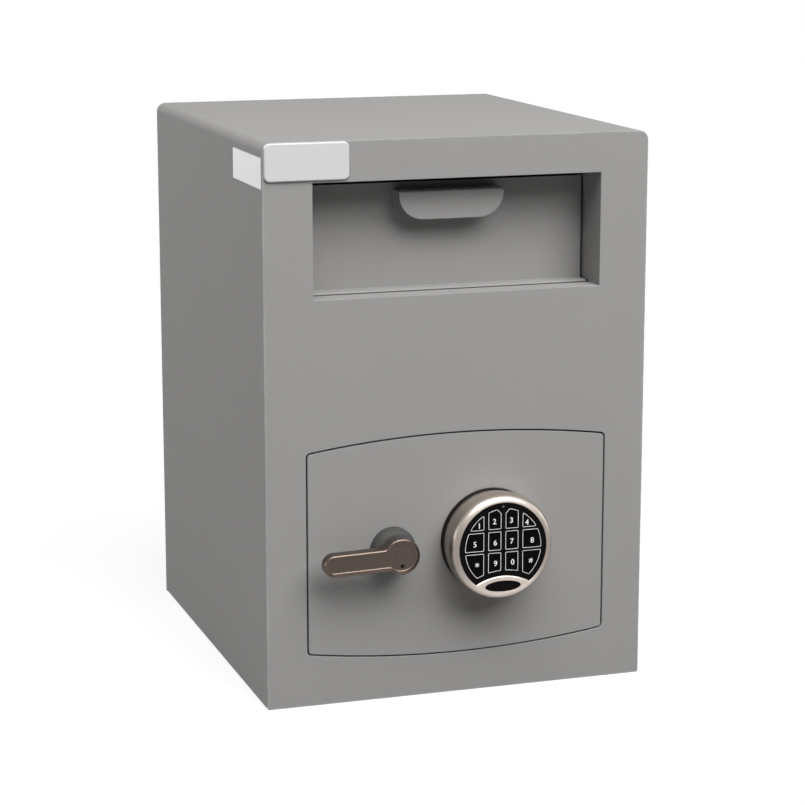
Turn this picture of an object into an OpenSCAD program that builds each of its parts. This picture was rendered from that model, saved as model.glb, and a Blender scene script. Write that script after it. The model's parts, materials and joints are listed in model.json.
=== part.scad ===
// Deposit safe: a steel cabinet with a tilting hopper and a bow-edged door.
// Millimetres. The origin is the centre of the base on the floor, the front faces -Y, and Z is up.

/* [Cabinet] */
// Width of the cabinet
body_w = 350; // [330:1:450]
// Height of the cabinet
body_h = 495; // [480:1:700]
// Depth of the cabinet, from the front face to the back
body_d = 395; // [300:1:500]
// Thickness of the sheet of the sides and top
wall_t = 3; // [2:0.5:5]
// Thickness of the front plate
front_t = 8; // [7:0.5:10]
// Thickness of the back plate
back_t = 3; // [2:0.5:6]
// Thickness of the base plate
base_t = 3; // [2:0.5:6]
// Outer radius of the bent top edges
edge_r = 8.5; // [6:0.5:16]
// Colour of the paint, as red, green and blue
paint = [0.61, 0.60, 0.59]; // [0:0.01:1]

/* [Anchors] */
// Diameter of the anchor holes
anchor_d = 12; // [8:0.5:16]
// Distance between the two floor anchor holes
floor_anchor_gap = 200; // [100:1:260]
// Distance between the two wall anchor holes
wall_anchor_gap = 200; // [100:1:260]
// Height of the wall anchor holes above the floor
wall_anchor_z = 260; // [120:1:420]

/* [Hopper opening] */
// Width of the hopper opening
hopper_w = 262; // [200:1:280]
// Height of the hopper opening
hopper_h = 100; // [90:0.1:106]
// Distance from the cabinet's top down to the opening
hopper_drop = 35.2; // [30:0.1:60]
// Depth of the sill behind the front face
sill_depth = 22.4; // [14:0.1:23]
// Thickness of the sheet of the sill, sides and hood
liner_t = 2; // [1.5:0.1:3]
// Length of the sill's skirt down behind the front plate
sill_skirt = 26; // [16:1:30]

/* [Hopper] */
// Distance from the front face to the face of the hopper panel
panel_setback = 40; // [36:0.5:46]
// Thickness of the hopper panel
panel_t = 2; // [1.5:0.1:2.5]
// Gap at each side of the hopper panel
panel_side_gap = 2.2; // [1:0.1:3]
// Distance from the front face to the hinge rod's axis
rod_setback = 30; // [28:0.5:32]
// Drop of the hinge rod's axis below the sill
rod_drop = 6.2; // [4:0.1:8]
// Diameter of the hinge rod
rod_d = 10; // [6:0.5:11]
// Outer diameter of the rolled barrel of the hopper panel
barrel_d = 16; // [14:0.1:17]
// Radial play between the hinge rod and the barrel
rod_play = 0.08; // [0.03:0.01:0.1]
// End play between the barrel and each thrust washer on the rod
washer_play = 0.3; // [0.2:0.05:0.6]
// Thickness of each cheek of the hopper
cheek_t = 1.5; // [1:0.1:2.5]
// Distance of each cheek in from the panel's side
cheek_inset = 4; // [3:0.1:8]
// Thickness of the tray
tray_t = 2; // [1.5:0.1:3]
// Angle of the closed tray from upright, towards the back
tray_angle = 115; // [105:1:120]
// Play between the hopper's swing and the hood
hood_play = 6; // [2:0.1:8]
// Angle that the hopper tilts by
tilt_angle = 60; // [40:1:65]
// Angle that the curved baffle reaches to from upright
baffle_angle = 65; // [50:1:75]
// Play between a stop and what it stops
stop_play = 0.3; // [0.2:0.1:1]
// Thickness of a stop block
stop_t = 8; // [5:0.5:10]
// Length of a stop block
stop_l = 16; // [10:1:20]

/* [Hopper handle] */
// Width of the handle
pull_w = 95.6; // [60:0.1:140]
// Height of the handle's lip
pull_h = 25; // [16:0.5:32]
// Distance that the lip stands out from the panel
pull_depth = 20; // [14:0.5:24]
// Thickness of the handle's sheet
pull_t = 2; // [1.5:0.1:3]
// Radius of the lower corners of the lip
pull_corner_r = 22; // [8:0.5:24]
// Radius of the bend along the top of the lip
pull_bend_r = 5; // [3:0.5:7]
// Distance from the roof of the opening down to the handle's top
pull_drop = 12.3; // [10:0.1:40]
// Distance between the two rivets of the handle
rivet_gap = 56; // [30:1:60]

/* [Door] */
// Width of the door
door_w = 274.5; // [230:0.5:285]
// Height of the door, over both bowed edges
door_h = 198.5; // [180:0.5:230]
// Rise of each bowed edge over the door's width
door_bow = 10.2; // [4:0.1:20]
// Radius of the door's corners
door_corner_r = 3; // [2:0.5:12]
// Height of the door's centre above the floor
door_z = 136.6; // [130:0.1:150]
// Gap round the door
door_gap = 1.5; // [1.5:0.1:3]
// Distance of the hinge axis in from the door's right edge
hinge_inset = 12; // [10:0.5:20]
// Diameter of the hinge pins
hinge_pin_d = 5; // [4:0.5:5]
// Radial play of the hinge pins
hinge_play = 0.06; // [0.03:0.01:0.1]
// Length of each hinge pin in the door
hinge_pin_hold = 16; // [10:1:24]
// Length of each hinge pin in the front plate
hinge_pin_reach = 10; // [6:0.5:14]

/* [Boltwork] */
// Depth of the frame behind the door plate
frame_depth = 40; // [38:1:50]
// Thickness of the frame and of its cover
frame_t = 2; // [1.5:0.1:3]
// Distance of the frame's left side in from the door's left edge
frame_inset = 17.5; // [12:0.5:18]
// Height of the frame
frame_h = 168; // [150:1:172]
// Diameter of the locking bolts
bolt_d = 18; // [12:0.5:20]
// Distance between the two locking bolts
bolt_gap = 100; // [80:1:110]
// Distance that a withdrawn bolt's tip stays in from the door's left edge
bolt_tip_inset = 3.5; // [2:0.1:6]
// Sliding play round a locking bolt in the frame
bolt_play = 0.3; // [0.2:0.1:0.6]
// Clearance round a locking bolt in the keeper
keeper_play = 1; // [0.6:0.1:2]
// Height of the keeper beyond each bolt
keeper_over = 18; // [12:1:24]
// Distance from the door plate's back to the middle of the carriage
carriage_depth = 16; // [15.5:0.1:17]
// Thickness of the carriage
carriage_t = 4; // [3:0.1:5]
// Radius of the crank, from the spindle to its pin
crank_r = 12.5; // [11:0.1:13]
// Angle that the lever turns by, half on each side of upright for the crank
lever_turn = 80; // [60:1:84]
// Diameter of the crank pin
crank_pin_d = 8; // [6:0.5:10]
// Play of the crank pin in the carriage's slot
crank_play = 0.45; // [0.4:0.05:0.8]
// Diameter of the guide studs
stud_d = 8; // [5:0.5:10]
// Play of the guide studs in the carriage's slots
stud_play = 0.3; // [0.2:0.1:0.6]

/* [Lever] */
// Distance of the lever's axis left of the cabinet's middle
lever_x = 61; // [50:0.5:66]
// Diameter of the lever's round head
head_d = 32.7; // [28:0.1:36]
// Length of the lever from its axis to its tip
lever_l = 71; // [50:0.5:72]
// Height of the lever's arm
arm_w = 20.2; // [14:0.1:24]
// Droop of the arm's tip below level
arm_droop = 1.6; // [0:0.1:4]
// Drop of the arm's middle below the axis
arm_drop = 2; // [0:0.1:3]
// Distance of the lever's face from the door
lever_face = 28; // [26:0.5:34]
// Thickness of the lever
lever_t = 8; // [6:0.5:10]
// Width of the raised rim round the lever's face
rim_w = 3; // [2:0.1:4]
// Depth of the field inside the rim
rim_depth = 0.8; // [0.4:0.1:1.5]
// Diameter of the spindle
spindle_d = 12; // [8:0.5:12]
// Radial play of the spindle in its bush
spindle_play = 0.05; // [0.03:0.01:0.1]
// Outer diameter of the rose
rose_d = 40; // [38:0.1:46]
// Height of the rose
rose_h = 12.5; // [9:0.5:14]

/* [Keypad] */
// Distance of the keypad's middle right of the cabinet's middle
pad_x = 29.9; // [28:0.1:33]
// Height of the keypad's middle above the door's centre
pad_up = 1.9; // [0:0.1:6]
// Diameter of the keypad's black base
pad_base_d = 92; // [90:0.5:94]
// Thickness of the black base
pad_base_t = 4; // [3:0.5:5]
// Diameter of the bezel where it meets the base
bezel_d = 88.8; // [88:0.1:92]
// Diameter of the bezel at its widest
bezel_wide_d = 94.8; // [92:0.1:96]
// Distance of the bezel's widest place from the door
bezel_wide_h = 27; // [18:0.5:28]
// Distance of the bezel's front from the door
bezel_h = 35; // [33:0.5:40]
// Thickness of the bezel's wall
bezel_t = 2.4; // [1.6:0.1:2.6]
// Diameter of the black face
face_d = 79; // [78:0.1:82]
// Depth of the face below the bezel's front
face_sink = 1; // [0.5:0.1:1.5]
// Thickness of the face
face_t = 2.5; // [2:0.1:3]
// Radius of the arc that the outer keys end on
key_arc_r = 35.5; // [35:0.1:36.5]
// Width of an inner key
key_w = 12.2; // [11:0.1:13]
// Height of a key of the middle row
key_h = 17; // [15:0.1:17.5]
// Gap between the columns of keys
key_col_gap = 3.7; // [3:0.1:4]
// Gap between the rows of keys
key_row_gap = 1.9; // [1.5:0.1:2.4]
// Height of the middle row's centre above the keypad's middle
key_up = 6.6; // [6:0.1:7]
// Play round a key in the face
key_play = 0.3; // [0.2:0.05:0.4]
// Distance that a key stands out of the face, which is also its travel
key_travel = 0.6; // [0.4:0.1:1]
// Width of the window below the keys
window_w = 33; // [26:0.5:36]
// Height of the window
window_h = 9.7; // [7:0.1:10]

/* [Badge and label] */
// Width of the blank badge
badge_w = 74.5; // [40:0.5:90]
// Height of the blank badge
badge_h = 32.5; // [20:0.5:33]
// Thickness of the blank badge
badge_t = 2.4; // [1:0.1:4]
// Length of the blank label on the left side
label_l = 93; // [40:1:120]
// Height of the blank label
label_h = 26.5; // [15:0.5:40]
// Distance from the cabinet's top down to the label
label_drop = 12.7; // [10:0.1:60]

/* [Hidden] */
$fn = 64;
EPS = 0.01;

front_y = -body_d / 2;

// Hopper: the panel, cheeks and tray swing inside swing_r round the rod's axis.
recess_top = body_h - hopper_drop;
hopper_z = recess_top - hopper_h;
rod_z = hopper_z - rod_drop;
hood_r = recess_top - rod_z;
swing_r = hood_r - hood_play;
barrel_r = barrel_d / 2;
panel_w = hopper_w - 2 * panel_side_gap;
panel_back = panel_setback + panel_t - rod_setback;
panel_top = sqrt(swing_r * swing_r - panel_back * panel_back);
cheek_x = panel_w / 2 - cheek_inset - cheek_t;
liner_reach = 46;
liner_bottom = rod_z - barrel_r - liner_reach;
liner_back = rod_setback + swing_r + stop_t;
pull_top = recess_top - pull_drop;

// The bowed edge is an arc over the door's width, and bow_drop is how far it falls at x.
bow_r = (door_w * door_w / 4 + door_bow * door_bow) / (2 * door_bow);
function bow_drop(x) = bow_r - sqrt(bow_r * bow_r - x * x);

// Door: positions in the door are measured from the front face and the door's centre.
door_left = -door_w / 2;
hinge_x = door_w / 2 - hinge_inset;
hinge_y = front_t / 2;
hinge_clear = 14;
hinge_edge = door_h / 2 - bow_drop(hinge_x);
frame_left = door_left + frame_inset;
frame_right = hinge_x - hinge_clear;
frame_back = front_t + frame_depth;
bolt_y = front_t + carriage_depth;
throw_x = 2 * crank_r * sin(lever_turn / 2);
bolt_tip = door_left + bolt_tip_inset;
bolt_l = 41;
flange_x = bolt_tip + bolt_l;
flange_t = 3;
spindle_x = -lever_x;
crank_start = [crank_r * sin(lever_turn / 2), crank_r * cos(lever_turn / 2)];
crank_t = 5;
carriage_reach = 40;
crank_y = bolt_y - carriage_t / 2 - 2 - crank_t;
carriage_right = spindle_x + carriage_reach;
carriage_h = bolt_gap + bolt_d + 8;
stud_x = [spindle_x - 17, spindle_x + 14];
stud_z = carriage_h / 2 - 18;
bush_d = spindle_d + 6;
neck_d = 22;
neck_play = 0.5;
pinhole_at = [0.7, -9];
pinhole_d = 3.4;
keeper_t = 3;
keeper_x = door_left - door_gap - 2.5 - keeper_t;
keeper_wing = keeper_x + body_w / 2 - wall_t - 3.5;

// Keypad: positions are measured from its own middle, and outwards from the door's face.
pad_z = door_z + pad_up;
face_h = bezel_h - face_sink;
led_up = 37;
lobe_top = -25.3;
lobe_r = 49.5;
window_up = -34.6;
key_back = face_h - 3;
board_t = 1.6;
mat_t = 0.9;
mat_h = key_back - key_travel - 0.3 - mat_t;
board_h = mat_h - board_t;
cable_d = 4;
cable_up = -10;
cable_hole_d = 10;
pad_screw_x = 36;
pad_screw_d = 4;
plate_t = 3;
lock_w = 65;
lock_h = 86;
lock_t = 26;
lock_left = pad_x - lock_w / 2;
lock_y = front_t + plate_t;
latch_w = 22;
latch_t = 10;
latch_out = 1;
latch_l = 17;
lock_screw_d = 6;
cover_screw_d = 5;

// Points of an arc in a plane, with both of its ends.
function arc(c, r, a0, a1, n) =
    [for (i = [0:n]) let (a = a0 + (a1 - a0) * i / n) c + r * [cos(a), sin(a)]];
function flip_x(p) = [for (i = [len(p) - 1:-1:0]) [-p[i][0], p[i][1]]];
function flip_y(p) = [for (i = [len(p) - 1:-1:0]) [p[i][0], -p[i][1]]];
function oval(w, h, n) = [for (i = [0:n - 1]) [w / 2 * cos(360 * i / n), h / 2 * sin(360 * i / n)]];

// A quarter of the door's outline, from the middle of its right edge to the middle of its top.
function door_quarter(grow) =
    let (w = door_w / 2 + grow, h = door_h / 2 + grow, r = bow_r + grow, c = door_corner_r + grow)
    let (cz = h - r + sqrt((r - c) * (r - c) - (w - c) * (w - c)))
    let (turn = atan2(cz - h + r, w - c))
    let (bow = arc([0, h - r], r, turn, 90, 12))
    concat(arc([w - c, cz], c, 0, turn, 6), [for (p = bow) if (p[1] > cz + c * sin(turn) + EPS) p]);
function door_outline(grow) =
    let (q = door_quarter(grow))
    let (top = concat(q, [for (i = [len(q) - 2:-1:0]) [-q[i][0], q[i][1]]]))
    concat(top, [for (i = [len(top) - 1:-1:0]) [top[i][0], -top[i][1]]]);

// Puts a shape drawn in front view, with its height outwards, on the front face at [x, z].
module on_front(x = 0, z = 0) {
    translate([x, front_y, z]) rotate([90, 0, 0]) children();
}

// The same, but its height runs inwards from a depth behind the front face.
module behind_front(depth, x = 0, z = 0) {
    translate([x, front_y + depth, z]) rotate([90, 0, 0]) mirror([0, 0, 1]) children();
}

// A bar along X with a section drawn in [depth behind the front face, height].
module along_x(w) {
    translate([-w / 2, front_y, 0]) rotate([90, 0, 90]) linear_extrude(w) children();
}

module at_rod() {
    translate([rod_setback, rod_z]) children();
}

module both_sides() {
    children();
    mirror([1, 0, 0]) children();
}

module both_ends() {
    children();
    translate([0, 0, 2 * door_z]) mirror([0, 0, 1]) children();
}

// The cabinet's outline in front view, with round top corners.
module cabinet_outline(inset = 0) {
    w = body_w / 2 - inset;
    r = edge_r - inset;
    top = body_h - inset;
    corner = arc([w - r, top - r], r, 0, 90, 10);
    polygon(concat([[w, 0]], corner, flip_x(corner), [[-w, 0]]));
}

module body_wrap() {
    color(paint)
        behind_front(front_t)
            linear_extrude(body_d - front_t - back_t)
                difference() {
                    cabinet_outline();
                    cabinet_outline(wall_t);
                }
}

module back_plate() {
    color(paint)
        behind_front(body_d - back_t)
            difference() {
                linear_extrude(back_t) cabinet_outline();
                for (x = [-1, 1])
                    translate([x * wall_anchor_gap / 2, wall_anchor_z, -1])
                        cylinder(d = anchor_d, h = back_t + 2);
            }
}

module base_plate() {
    color(paint)
        difference() {
            translate([-body_w / 2 + wall_t, front_y + front_t, 0])
                cube([body_w - 2 * wall_t, body_d - front_t - back_t, base_t]);
            for (x = [-1, 1])
                translate([x * floor_anchor_gap / 2, 0, -1])
                    cylinder(d = anchor_d, h = base_t + 2);
        }
}

module front_plate() {
    color(paint)
        behind_front(0)
            difference() {
                linear_extrude(front_t) cabinet_outline();
                translate([0, door_z, -1])
                    linear_extrude(front_t + 2) polygon(door_outline(door_gap));
                translate([-hopper_w / 2, hopper_z, -1])
                    cube([hopper_w, hopper_h, front_t + 2]);
                hinge_bores(hinge_edge, door_gap + hinge_pin_reach + stop_play, hinge_play);
            }
}

// Upright bores in the thickness of a plate, at both ends of the hinge axis.
module hinge_bores(from, l, play) {
    for (s = [-1, 1])
        translate([hinge_x, door_z + s * from, hinge_y])
            rotate([-90 * s, 0, 0]) cylinder(d = hinge_pin_d + 2 * play, h = l);
}

module hopper_sill() {
    color(paint)
        along_x(hopper_w)
            polygon([
                [front_t, hopper_z], [front_t, hopper_z - sill_skirt],
                [front_t + liner_t, hopper_z - sill_skirt],
                [front_t + liner_t, hopper_z - liner_t],
                [sill_depth, hopper_z - liner_t], [sill_depth, hopper_z]
            ]);
}

module hopper_sides() {
    color(paint)
        both_sides()
            difference() {
                translate([hopper_w / 2 + liner_t / 2, 0, 0])
                    along_x(liner_t)
                        polygon([
                            [front_t, liner_bottom + 30], [front_t + 30, liner_bottom],
                            [liner_back, liner_bottom], [liner_back, recess_top - 60],
                            [liner_back - 45, recess_top + liner_t], [front_t, recess_top + liner_t]
                        ]);
                translate([0, front_y + rod_setback, rod_z])
                    rotate([0, 90, 0]) cylinder(d = rod_d, h = body_w);
            }
}

module hopper_hood() {
    color(paint)
        along_x(hopper_w)
            translate([rod_setback, rod_z])
                polygon(concat(
                    [[front_t - rod_setback, hood_r]],
                    arc([0, 0], hood_r, 90, 90 - baffle_angle, 24),
                    arc([0, 0], hood_r + liner_t, 90 - baffle_angle, 90, 24),
                    [[front_t - rod_setback, hood_r + liner_t]]
                ));
}

module hopper_hinge_rod() {
    color([0.75, 0.75, 0.76])
        translate([-hopper_w / 2 - liner_t - 3, front_y + rod_setback, rod_z])
            rotate([0, 90, 0]) cylinder(d = rod_d, h = hopper_w + 2 * liner_t + 6);
}

module hopper_washers() {
    washer_l = panel_side_gap - washer_play;
    color([0.92, 0.9, 0.84])
        both_sides()
            translate([hopper_w / 2 - washer_l, front_y + rod_setback, rod_z])
                rotate([0, 90, 0])
                    difference() {
                        cylinder(d = barrel_d - 1, h = washer_l);
                        translate([0, 0, -1]) cylinder(d = rod_d, h = washer_l + 2);
                    }
}

// A pair behind the panel stops it shut, and a pair over the tray stops it open.
module hopper_stops() {
    reach = panel_side_gap + cheek_inset - 0.7;
    color([0.15, 0.15, 0.16])
        both_sides()
            translate([hopper_w / 2 - reach / 2, 0, 0]) {
                along_x(reach)
                    translate([panel_setback + panel_t + stop_play, rod_z + swing_r / 3])
                        square([stop_t, stop_l]);
                along_x(reach)
                    at_rod()
                        rotate(tilt_angle - tray_angle)
                            translate([-tray_t / 2 - stop_play - stop_t, swing_r * 0.7])
                                square([stop_t, stop_l]);
            }
}

module bolt_keeper() {
    h = bolt_gap + bolt_d + 2 * keeper_over;
    color(paint)
        difference() {
            translate([keeper_x, front_y + front_t, door_z - h / 2])
                union() {
                    cube([keeper_t, frame_depth - 4, h]);
                    translate([-keeper_wing, 0, 0]) cube([keeper_wing, keeper_t, h]);
                }
            both_ends()
                translate([keeper_x - 1, front_y + bolt_y, door_z + bolt_gap / 2])
                    rotate([0, 90, 0]) cylinder(d = bolt_d + 2 * keeper_play, h = keeper_t + 2);
        }
}

// The badge sits against the top left corner of the front.
module badge() {
    left = -body_w / 2 + 1.5;
    low = body_h - badge_h - 0.5;
    r = 5;
    color([0.93, 0.93, 0.93])
        on_front(left, low)
            union() {
                hull()
                    for (x = [r, badge_w - r], y = [r, badge_h - r])
                        translate([x, y, 0]) cylinder(r = r, h = badge_t * 0.6, $fn = 32);
                hull()
                    for (x = [r, badge_w - r], y = [r, badge_h - r])
                        translate([x, y, 0]) cylinder(r = r - 1, h = badge_t, $fn = 32);
            }
}

module side_label() {
    t = 0.3;
    color([0.9, 0.9, 0.88])
        translate([-body_w / 2 - t, front_y + 2, body_h - label_drop - label_h])
            cube([t, label_l, label_h]);
}

module door_plate() {
    color(paint)
        behind_front(0, 0, door_z)
            difference() {
                linear_extrude(front_t) polygon(door_outline(0));
                translate([spindle_x, 0, -1]) cylinder(d = bush_d, h = front_t + 2);
                translate([pad_x, pad_up + cable_up, -1]) cylinder(d = cable_hole_d, h = front_t + 2);
                for (s = [-1, 1])
                    translate([pad_x + s * pad_screw_x, pad_up, -1])
                        cylinder(d = pad_screw_d, h = front_t + 2);
                translate([0, -door_z, 0])
                    hinge_bores(hinge_edge - hinge_pin_hold, hinge_pin_hold + 2, 0);
            }
}

module bolt_frame() {
    w = frame_right - frame_left;
    tab = 12;
    color(paint)
        difference() {
            translate([frame_left, front_y + front_t, door_z - frame_h / 2])
                union() {
                    difference() {
                        cube([w, frame_depth, frame_h]);
                        translate([frame_t, -1, frame_t])
                            cube([w - 2 * frame_t, frame_depth + 2, frame_h - 2 * frame_t]);
                    }
                    for (x = [0, w - tab], z = [0, frame_h - tab])
                        translate([x, frame_depth - frame_t, z]) cube([tab, frame_t, tab]);
                }
            both_ends()
                translate([frame_left - 1, front_y + bolt_y, door_z + bolt_gap / 2])
                    rotate([0, 90, 0]) cylinder(d = bolt_d + 2 * bolt_play, h = frame_t + 2);
            cover_screw_places() cylinder(d = cover_screw_d, h = frame_depth);
        }
}

// The four corners where the cover is screwed to the frame, with Z pointing inwards.
module cover_screw_places() {
    inset = 6;
    for (x = [frame_left + inset, frame_right - inset], s = [-1, 1])
        behind_front(frame_back - frame_t - 1, x, door_z + s * (frame_h / 2 - inset))
            children();
}

module bolt_cover() {
    color([0.55, 0.54, 0.53])
        difference() {
            translate([frame_left, front_y + frame_back, door_z - frame_h / 2])
                cube([frame_right - frame_left, frame_t, frame_h]);
            cover_screw_places() cylinder(d = cover_screw_d, h = frame_depth);
        }
}

module cover_screws() {
    color([0.7, 0.7, 0.7])
        cover_screw_places()
            union() {
                translate([0, 0, 1]) cylinder(d = cover_screw_d, h = 2 * frame_t);
                translate([0, 0, 1 + 2 * frame_t]) cylinder(d = cover_screw_d * 1.9, h = 2.6);
            }
}

module hinge_pins() {
    color([0.75, 0.75, 0.76])
        both_ends()
            translate([hinge_x, front_y + hinge_y, door_z + hinge_edge - hinge_pin_hold])
                cylinder(d = hinge_pin_d, h = hinge_pin_hold + door_gap + hinge_pin_reach);
}

module anti_drill_plate() {
    color([0.4, 0.4, 0.42])
        behind_front(front_t, pad_x, pad_z)
            difference() {
                translate([-lock_w / 2 - 4, -lock_h / 2 - 5, 0])
                    cube([lock_w + 8, lock_h + 10, plate_t]);
                translate([0, cable_up, -1]) cylinder(d = cable_hole_d, h = plate_t + 2);
            }
}

// The places of the three screws of the lock, measured from its middle.
lock_screw_x = lock_w / 2 - 9;
lock_screw_z = lock_h / 2 - 9;
lock_screw_at = [
    [lock_screw_x, lock_screw_z], [lock_screw_x, -lock_screw_z], [-lock_screw_x, lock_screw_z]
];

module lock_case() {
    r = 5;
    color([0.72, 0.72, 0.7])
        behind_front(lock_y, pad_x, pad_z)
            difference() {
                linear_extrude(lock_t)
                    polygon(concat(
                        arc([lock_w / 2 - r, lock_h / 2 - r], r, 0, 90, 6),
                        arc([r - lock_w / 2, lock_h / 2 - r], r, 90, 180, 6),
                        arc([r - lock_w / 2, r - lock_h / 2], r, 180, 270, 6),
                        arc([lock_w / 2 - r, r - lock_h / 2], r, 270, 360, 6)
                    ));
                translate([-lock_w / 2 - 1, -latch_w / 2 - 0.4, bolt_y - lock_y - latch_t / 2 - 0.4])
                    cube([latch_l + 3, latch_w + 0.8, latch_t + 0.8]);
                for (p = lock_screw_at)
                    translate([p[0], p[1], -1]) cylinder(d = lock_screw_d, h = lock_t + 2);
            }
}

module lock_screws() {
    color([0.3, 0.3, 0.3])
        behind_front(lock_y, pad_x, pad_z)
            for (p = lock_screw_at)
                translate([p[0], p[1], 0])
                    union() {
                        cylinder(d = lock_screw_d, h = lock_t);
                        difference() {
                            translate([0, 0, lock_t]) cylinder(d = lock_screw_d + 4, h = lock_screw_d);
                            translate([0, 0, lock_t + lock_screw_d / 2])
                                cylinder(d = lock_screw_d, h = lock_screw_d, $fn = 6);
                        }
                    }
}

module lock_cable() {
    color([0.15, 0.15, 0.15])
        on_front(pad_x, pad_z + cable_up)
            translate([0, 0, -lock_y]) cylinder(d = cable_d, h = lock_y + board_h);
}

module carriage_guides() {
    spacer = carriage_depth - carriage_t / 2 - stud_play;
    color([0.72, 0.72, 0.72])
        for (x = stud_x, s = [-1, 1])
            behind_front(front_t, x, door_z + s * stud_z)
                union() {
                    cylinder(d = stud_d + 6, h = spacer);
                    cylinder(d = stud_d, h = spacer + carriage_t + 2 * stud_play + 2);
                    translate([0, 0, spacer + carriage_t + 2 * stud_play])
                        cylinder(d = stud_d + 6, h = 2.4);
                }
}

module spindle_bush() {
    color([0.72, 0.6, 0.3])
        behind_front(0, spindle_x, door_z)
            difference() {
                union() {
                    cylinder(d = bush_d, h = front_t + 2);
                    translate([0, 0, front_t]) cylinder(d = bush_d + 6, h = 2);
                }
                translate([0, 0, -1]) cylinder(d = spindle_d + 2 * spindle_play, h = front_t + 4);
            }
}

module lever_rose() {
    side = 5;
    hole = neck_d / 2 + neck_play;
    color([0.27, 0.27, 0.27])
        on_front(spindle_x, door_z)
            rotate_extrude()
                polygon(concat(
                    [[hole, 0], [rose_d / 2, 0]],
                    [for (a = [0:10:90]) [
                        hole + 1.5 + (rose_d / 2 - hole - 1.5) * cos(a),
                        side + (rose_h - side) * sin(a)
                    ]],
                    [[hole, rose_h]]
                ));
}

module keypad_base() {
    color([0.06, 0.06, 0.06])
        on_front(pad_x, pad_z)
            difference() {
                union() {
                    cylinder(d = pad_base_d, h = pad_base_t - 0.6);
                    cylinder(d = pad_base_d - 1.6, h = pad_base_t);
                }
                translate([0, cable_up, -1]) cylinder(d = cable_hole_d, h = pad_base_t + 2);
                for (s = [-1, 1])
                    translate([s * pad_screw_x, 0, -1]) cylinder(d = pad_screw_d, h = pad_base_t + 2);
            }
}

module keypad_screws() {
    color([0.7, 0.7, 0.7])
        on_front(pad_x, pad_z)
            for (s = [-1, 1])
                translate([s * pad_screw_x, 0, -front_t])
                    union() {
                        cylinder(d = pad_screw_d, h = front_t + pad_base_t);
                        translate([0, 0, front_t + pad_base_t])
                            cylinder(d = pad_screw_d * 1.8, h = 2.4);
                    }
}

// The outside of the bezel from its base to its widest place and round to its front edge.
function bezel_side(inset) =
    let (r0 = bezel_d / 2 - inset, r1 = bezel_wide_d / 2 - inset, r2 = face_d / 2 + 0.8)
    let (rise = bezel_wide_h - pad_base_t, turn_h = bezel_h - inset - bezel_wide_h)
    concat(
        [for (i = [0:6]) [r0 + (r1 - r0) * sin(15 * i), pad_base_t + rise * i / 6]],
        [for (a = [10:10:90]) [r2 + (r1 - r2) * cos(a), bezel_wide_h + turn_h * sin(a)]]
    );

// The part of the round face that the window's surround covers, with round shoulders.
module lobe(grow = 0) {
    translate([0, lobe_top - lobe_r]) circle(r = lobe_r + grow, $fn = 180);
}

module keypad_bezel() {
    ledge_t = 2;
    inner = [for (p = bezel_side(bezel_t)) if (p[1] < face_h - face_t - 0.5) p];
    color([0.72, 0.68, 0.63])
        on_front(pad_x, pad_z)
            difference() {
                union() {
                    rotate_extrude($fn = 128)
                        polygon(concat(
                            bezel_side(0),
                            [[face_d / 2, bezel_h - 0.4], [face_d / 2, bezel_h - face_sink - face_t]],
                            [for (i = [len(inner) - 1:-1:0]) inner[i]]
                        ));
                    translate([0, 0, board_h - ledge_t])
                        difference() {
                            cylinder(d = bezel_wide_d - 2 * bezel_t + 1, h = ledge_t, $fn = 128);
                            translate([0, 0, -1]) cylinder(d = face_d - 8, h = ledge_t + 2);
                        }
                    translate([0, 0, face_h - face_t])
                        linear_extrude(bezel_h - 0.4 - face_h + face_t)
                            intersection() {
                                circle(d = face_d + 1, $fn = 128);
                                lobe();
                            }
                }
                translate([0, window_up, face_h - face_t - 1])
                    linear_extrude(bezel_h) polygon(oval(window_w, window_h, 40));
            }
}

// Outlines of the keys in the face, by column from -2 to 2 with no 0, and by row from 1 at the top.
module key_cell(col, row, grow = 0) {
    side = sign(col);
    inner = abs(col) == 1;
    x0 = inner ? key_col_gap / 2 : 3 * key_col_gap / 2 + key_w;
    x1 = inner ? x0 + key_w : key_arc_r + 1;
    z0 = row == 1 ? key_up + key_h / 2 + key_row_gap : row == 2 ? key_up - key_h / 2 : -key_arc_r;
    z1 = row == 1 ? key_arc_r + 1 : row == 2 ? key_up + key_h / 2 : key_up - key_h / 2 - key_row_gap;
    round_r = 1;
    offset(r = round_r + grow, $fn = 24)
        offset(delta = -round_r)
            difference() {
                intersection() {
                    polygon([[side * x0, z0], [side * x1, z0], [side * x1, z1], [side * x0, z1]]);
                    circle(r = key_arc_r, $fn = 120);
                }
                translate([0, led_up - 7.6]) rotate(45) square(20);
                lobe(4.8);
            }
}

KEYS = [
    ["key_1", -2, 1], ["key_2", -1, 1], ["key_3", 1, 1], ["key_4", 2, 1],
    ["key_5", -2, 2], ["key_6", -1, 2], ["key_7", 1, 2], ["key_8", 2, 2],
    ["key_star", -2, 3], ["key_9", -1, 3], ["key_0", 1, 3], ["key_hash", 2, 3]
];

module keypad_face() {
    color([0.03, 0.03, 0.03])
        on_front(pad_x, pad_z)
            translate([0, 0, face_h - face_t])
                linear_extrude(face_t)
                    difference() {
                        circle(d = face_d - 0.2, $fn = 128);
                        lobe(0.1);
                        for (k = KEYS) key_cell(k[1], k[2], key_play);
                        translate([0, led_up]) circle(r = 1.1, $fn = 24);
                    }
}

module key(name) {
    k = KEYS[search([name], KEYS)[0]];
    color([0.05, 0.05, 0.05])
        on_front(pad_x, pad_z)
            translate([0, 0, key_back])
                linear_extrude(face_h + key_travel - key_back) key_cell(k[1], k[2]);
}

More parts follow.
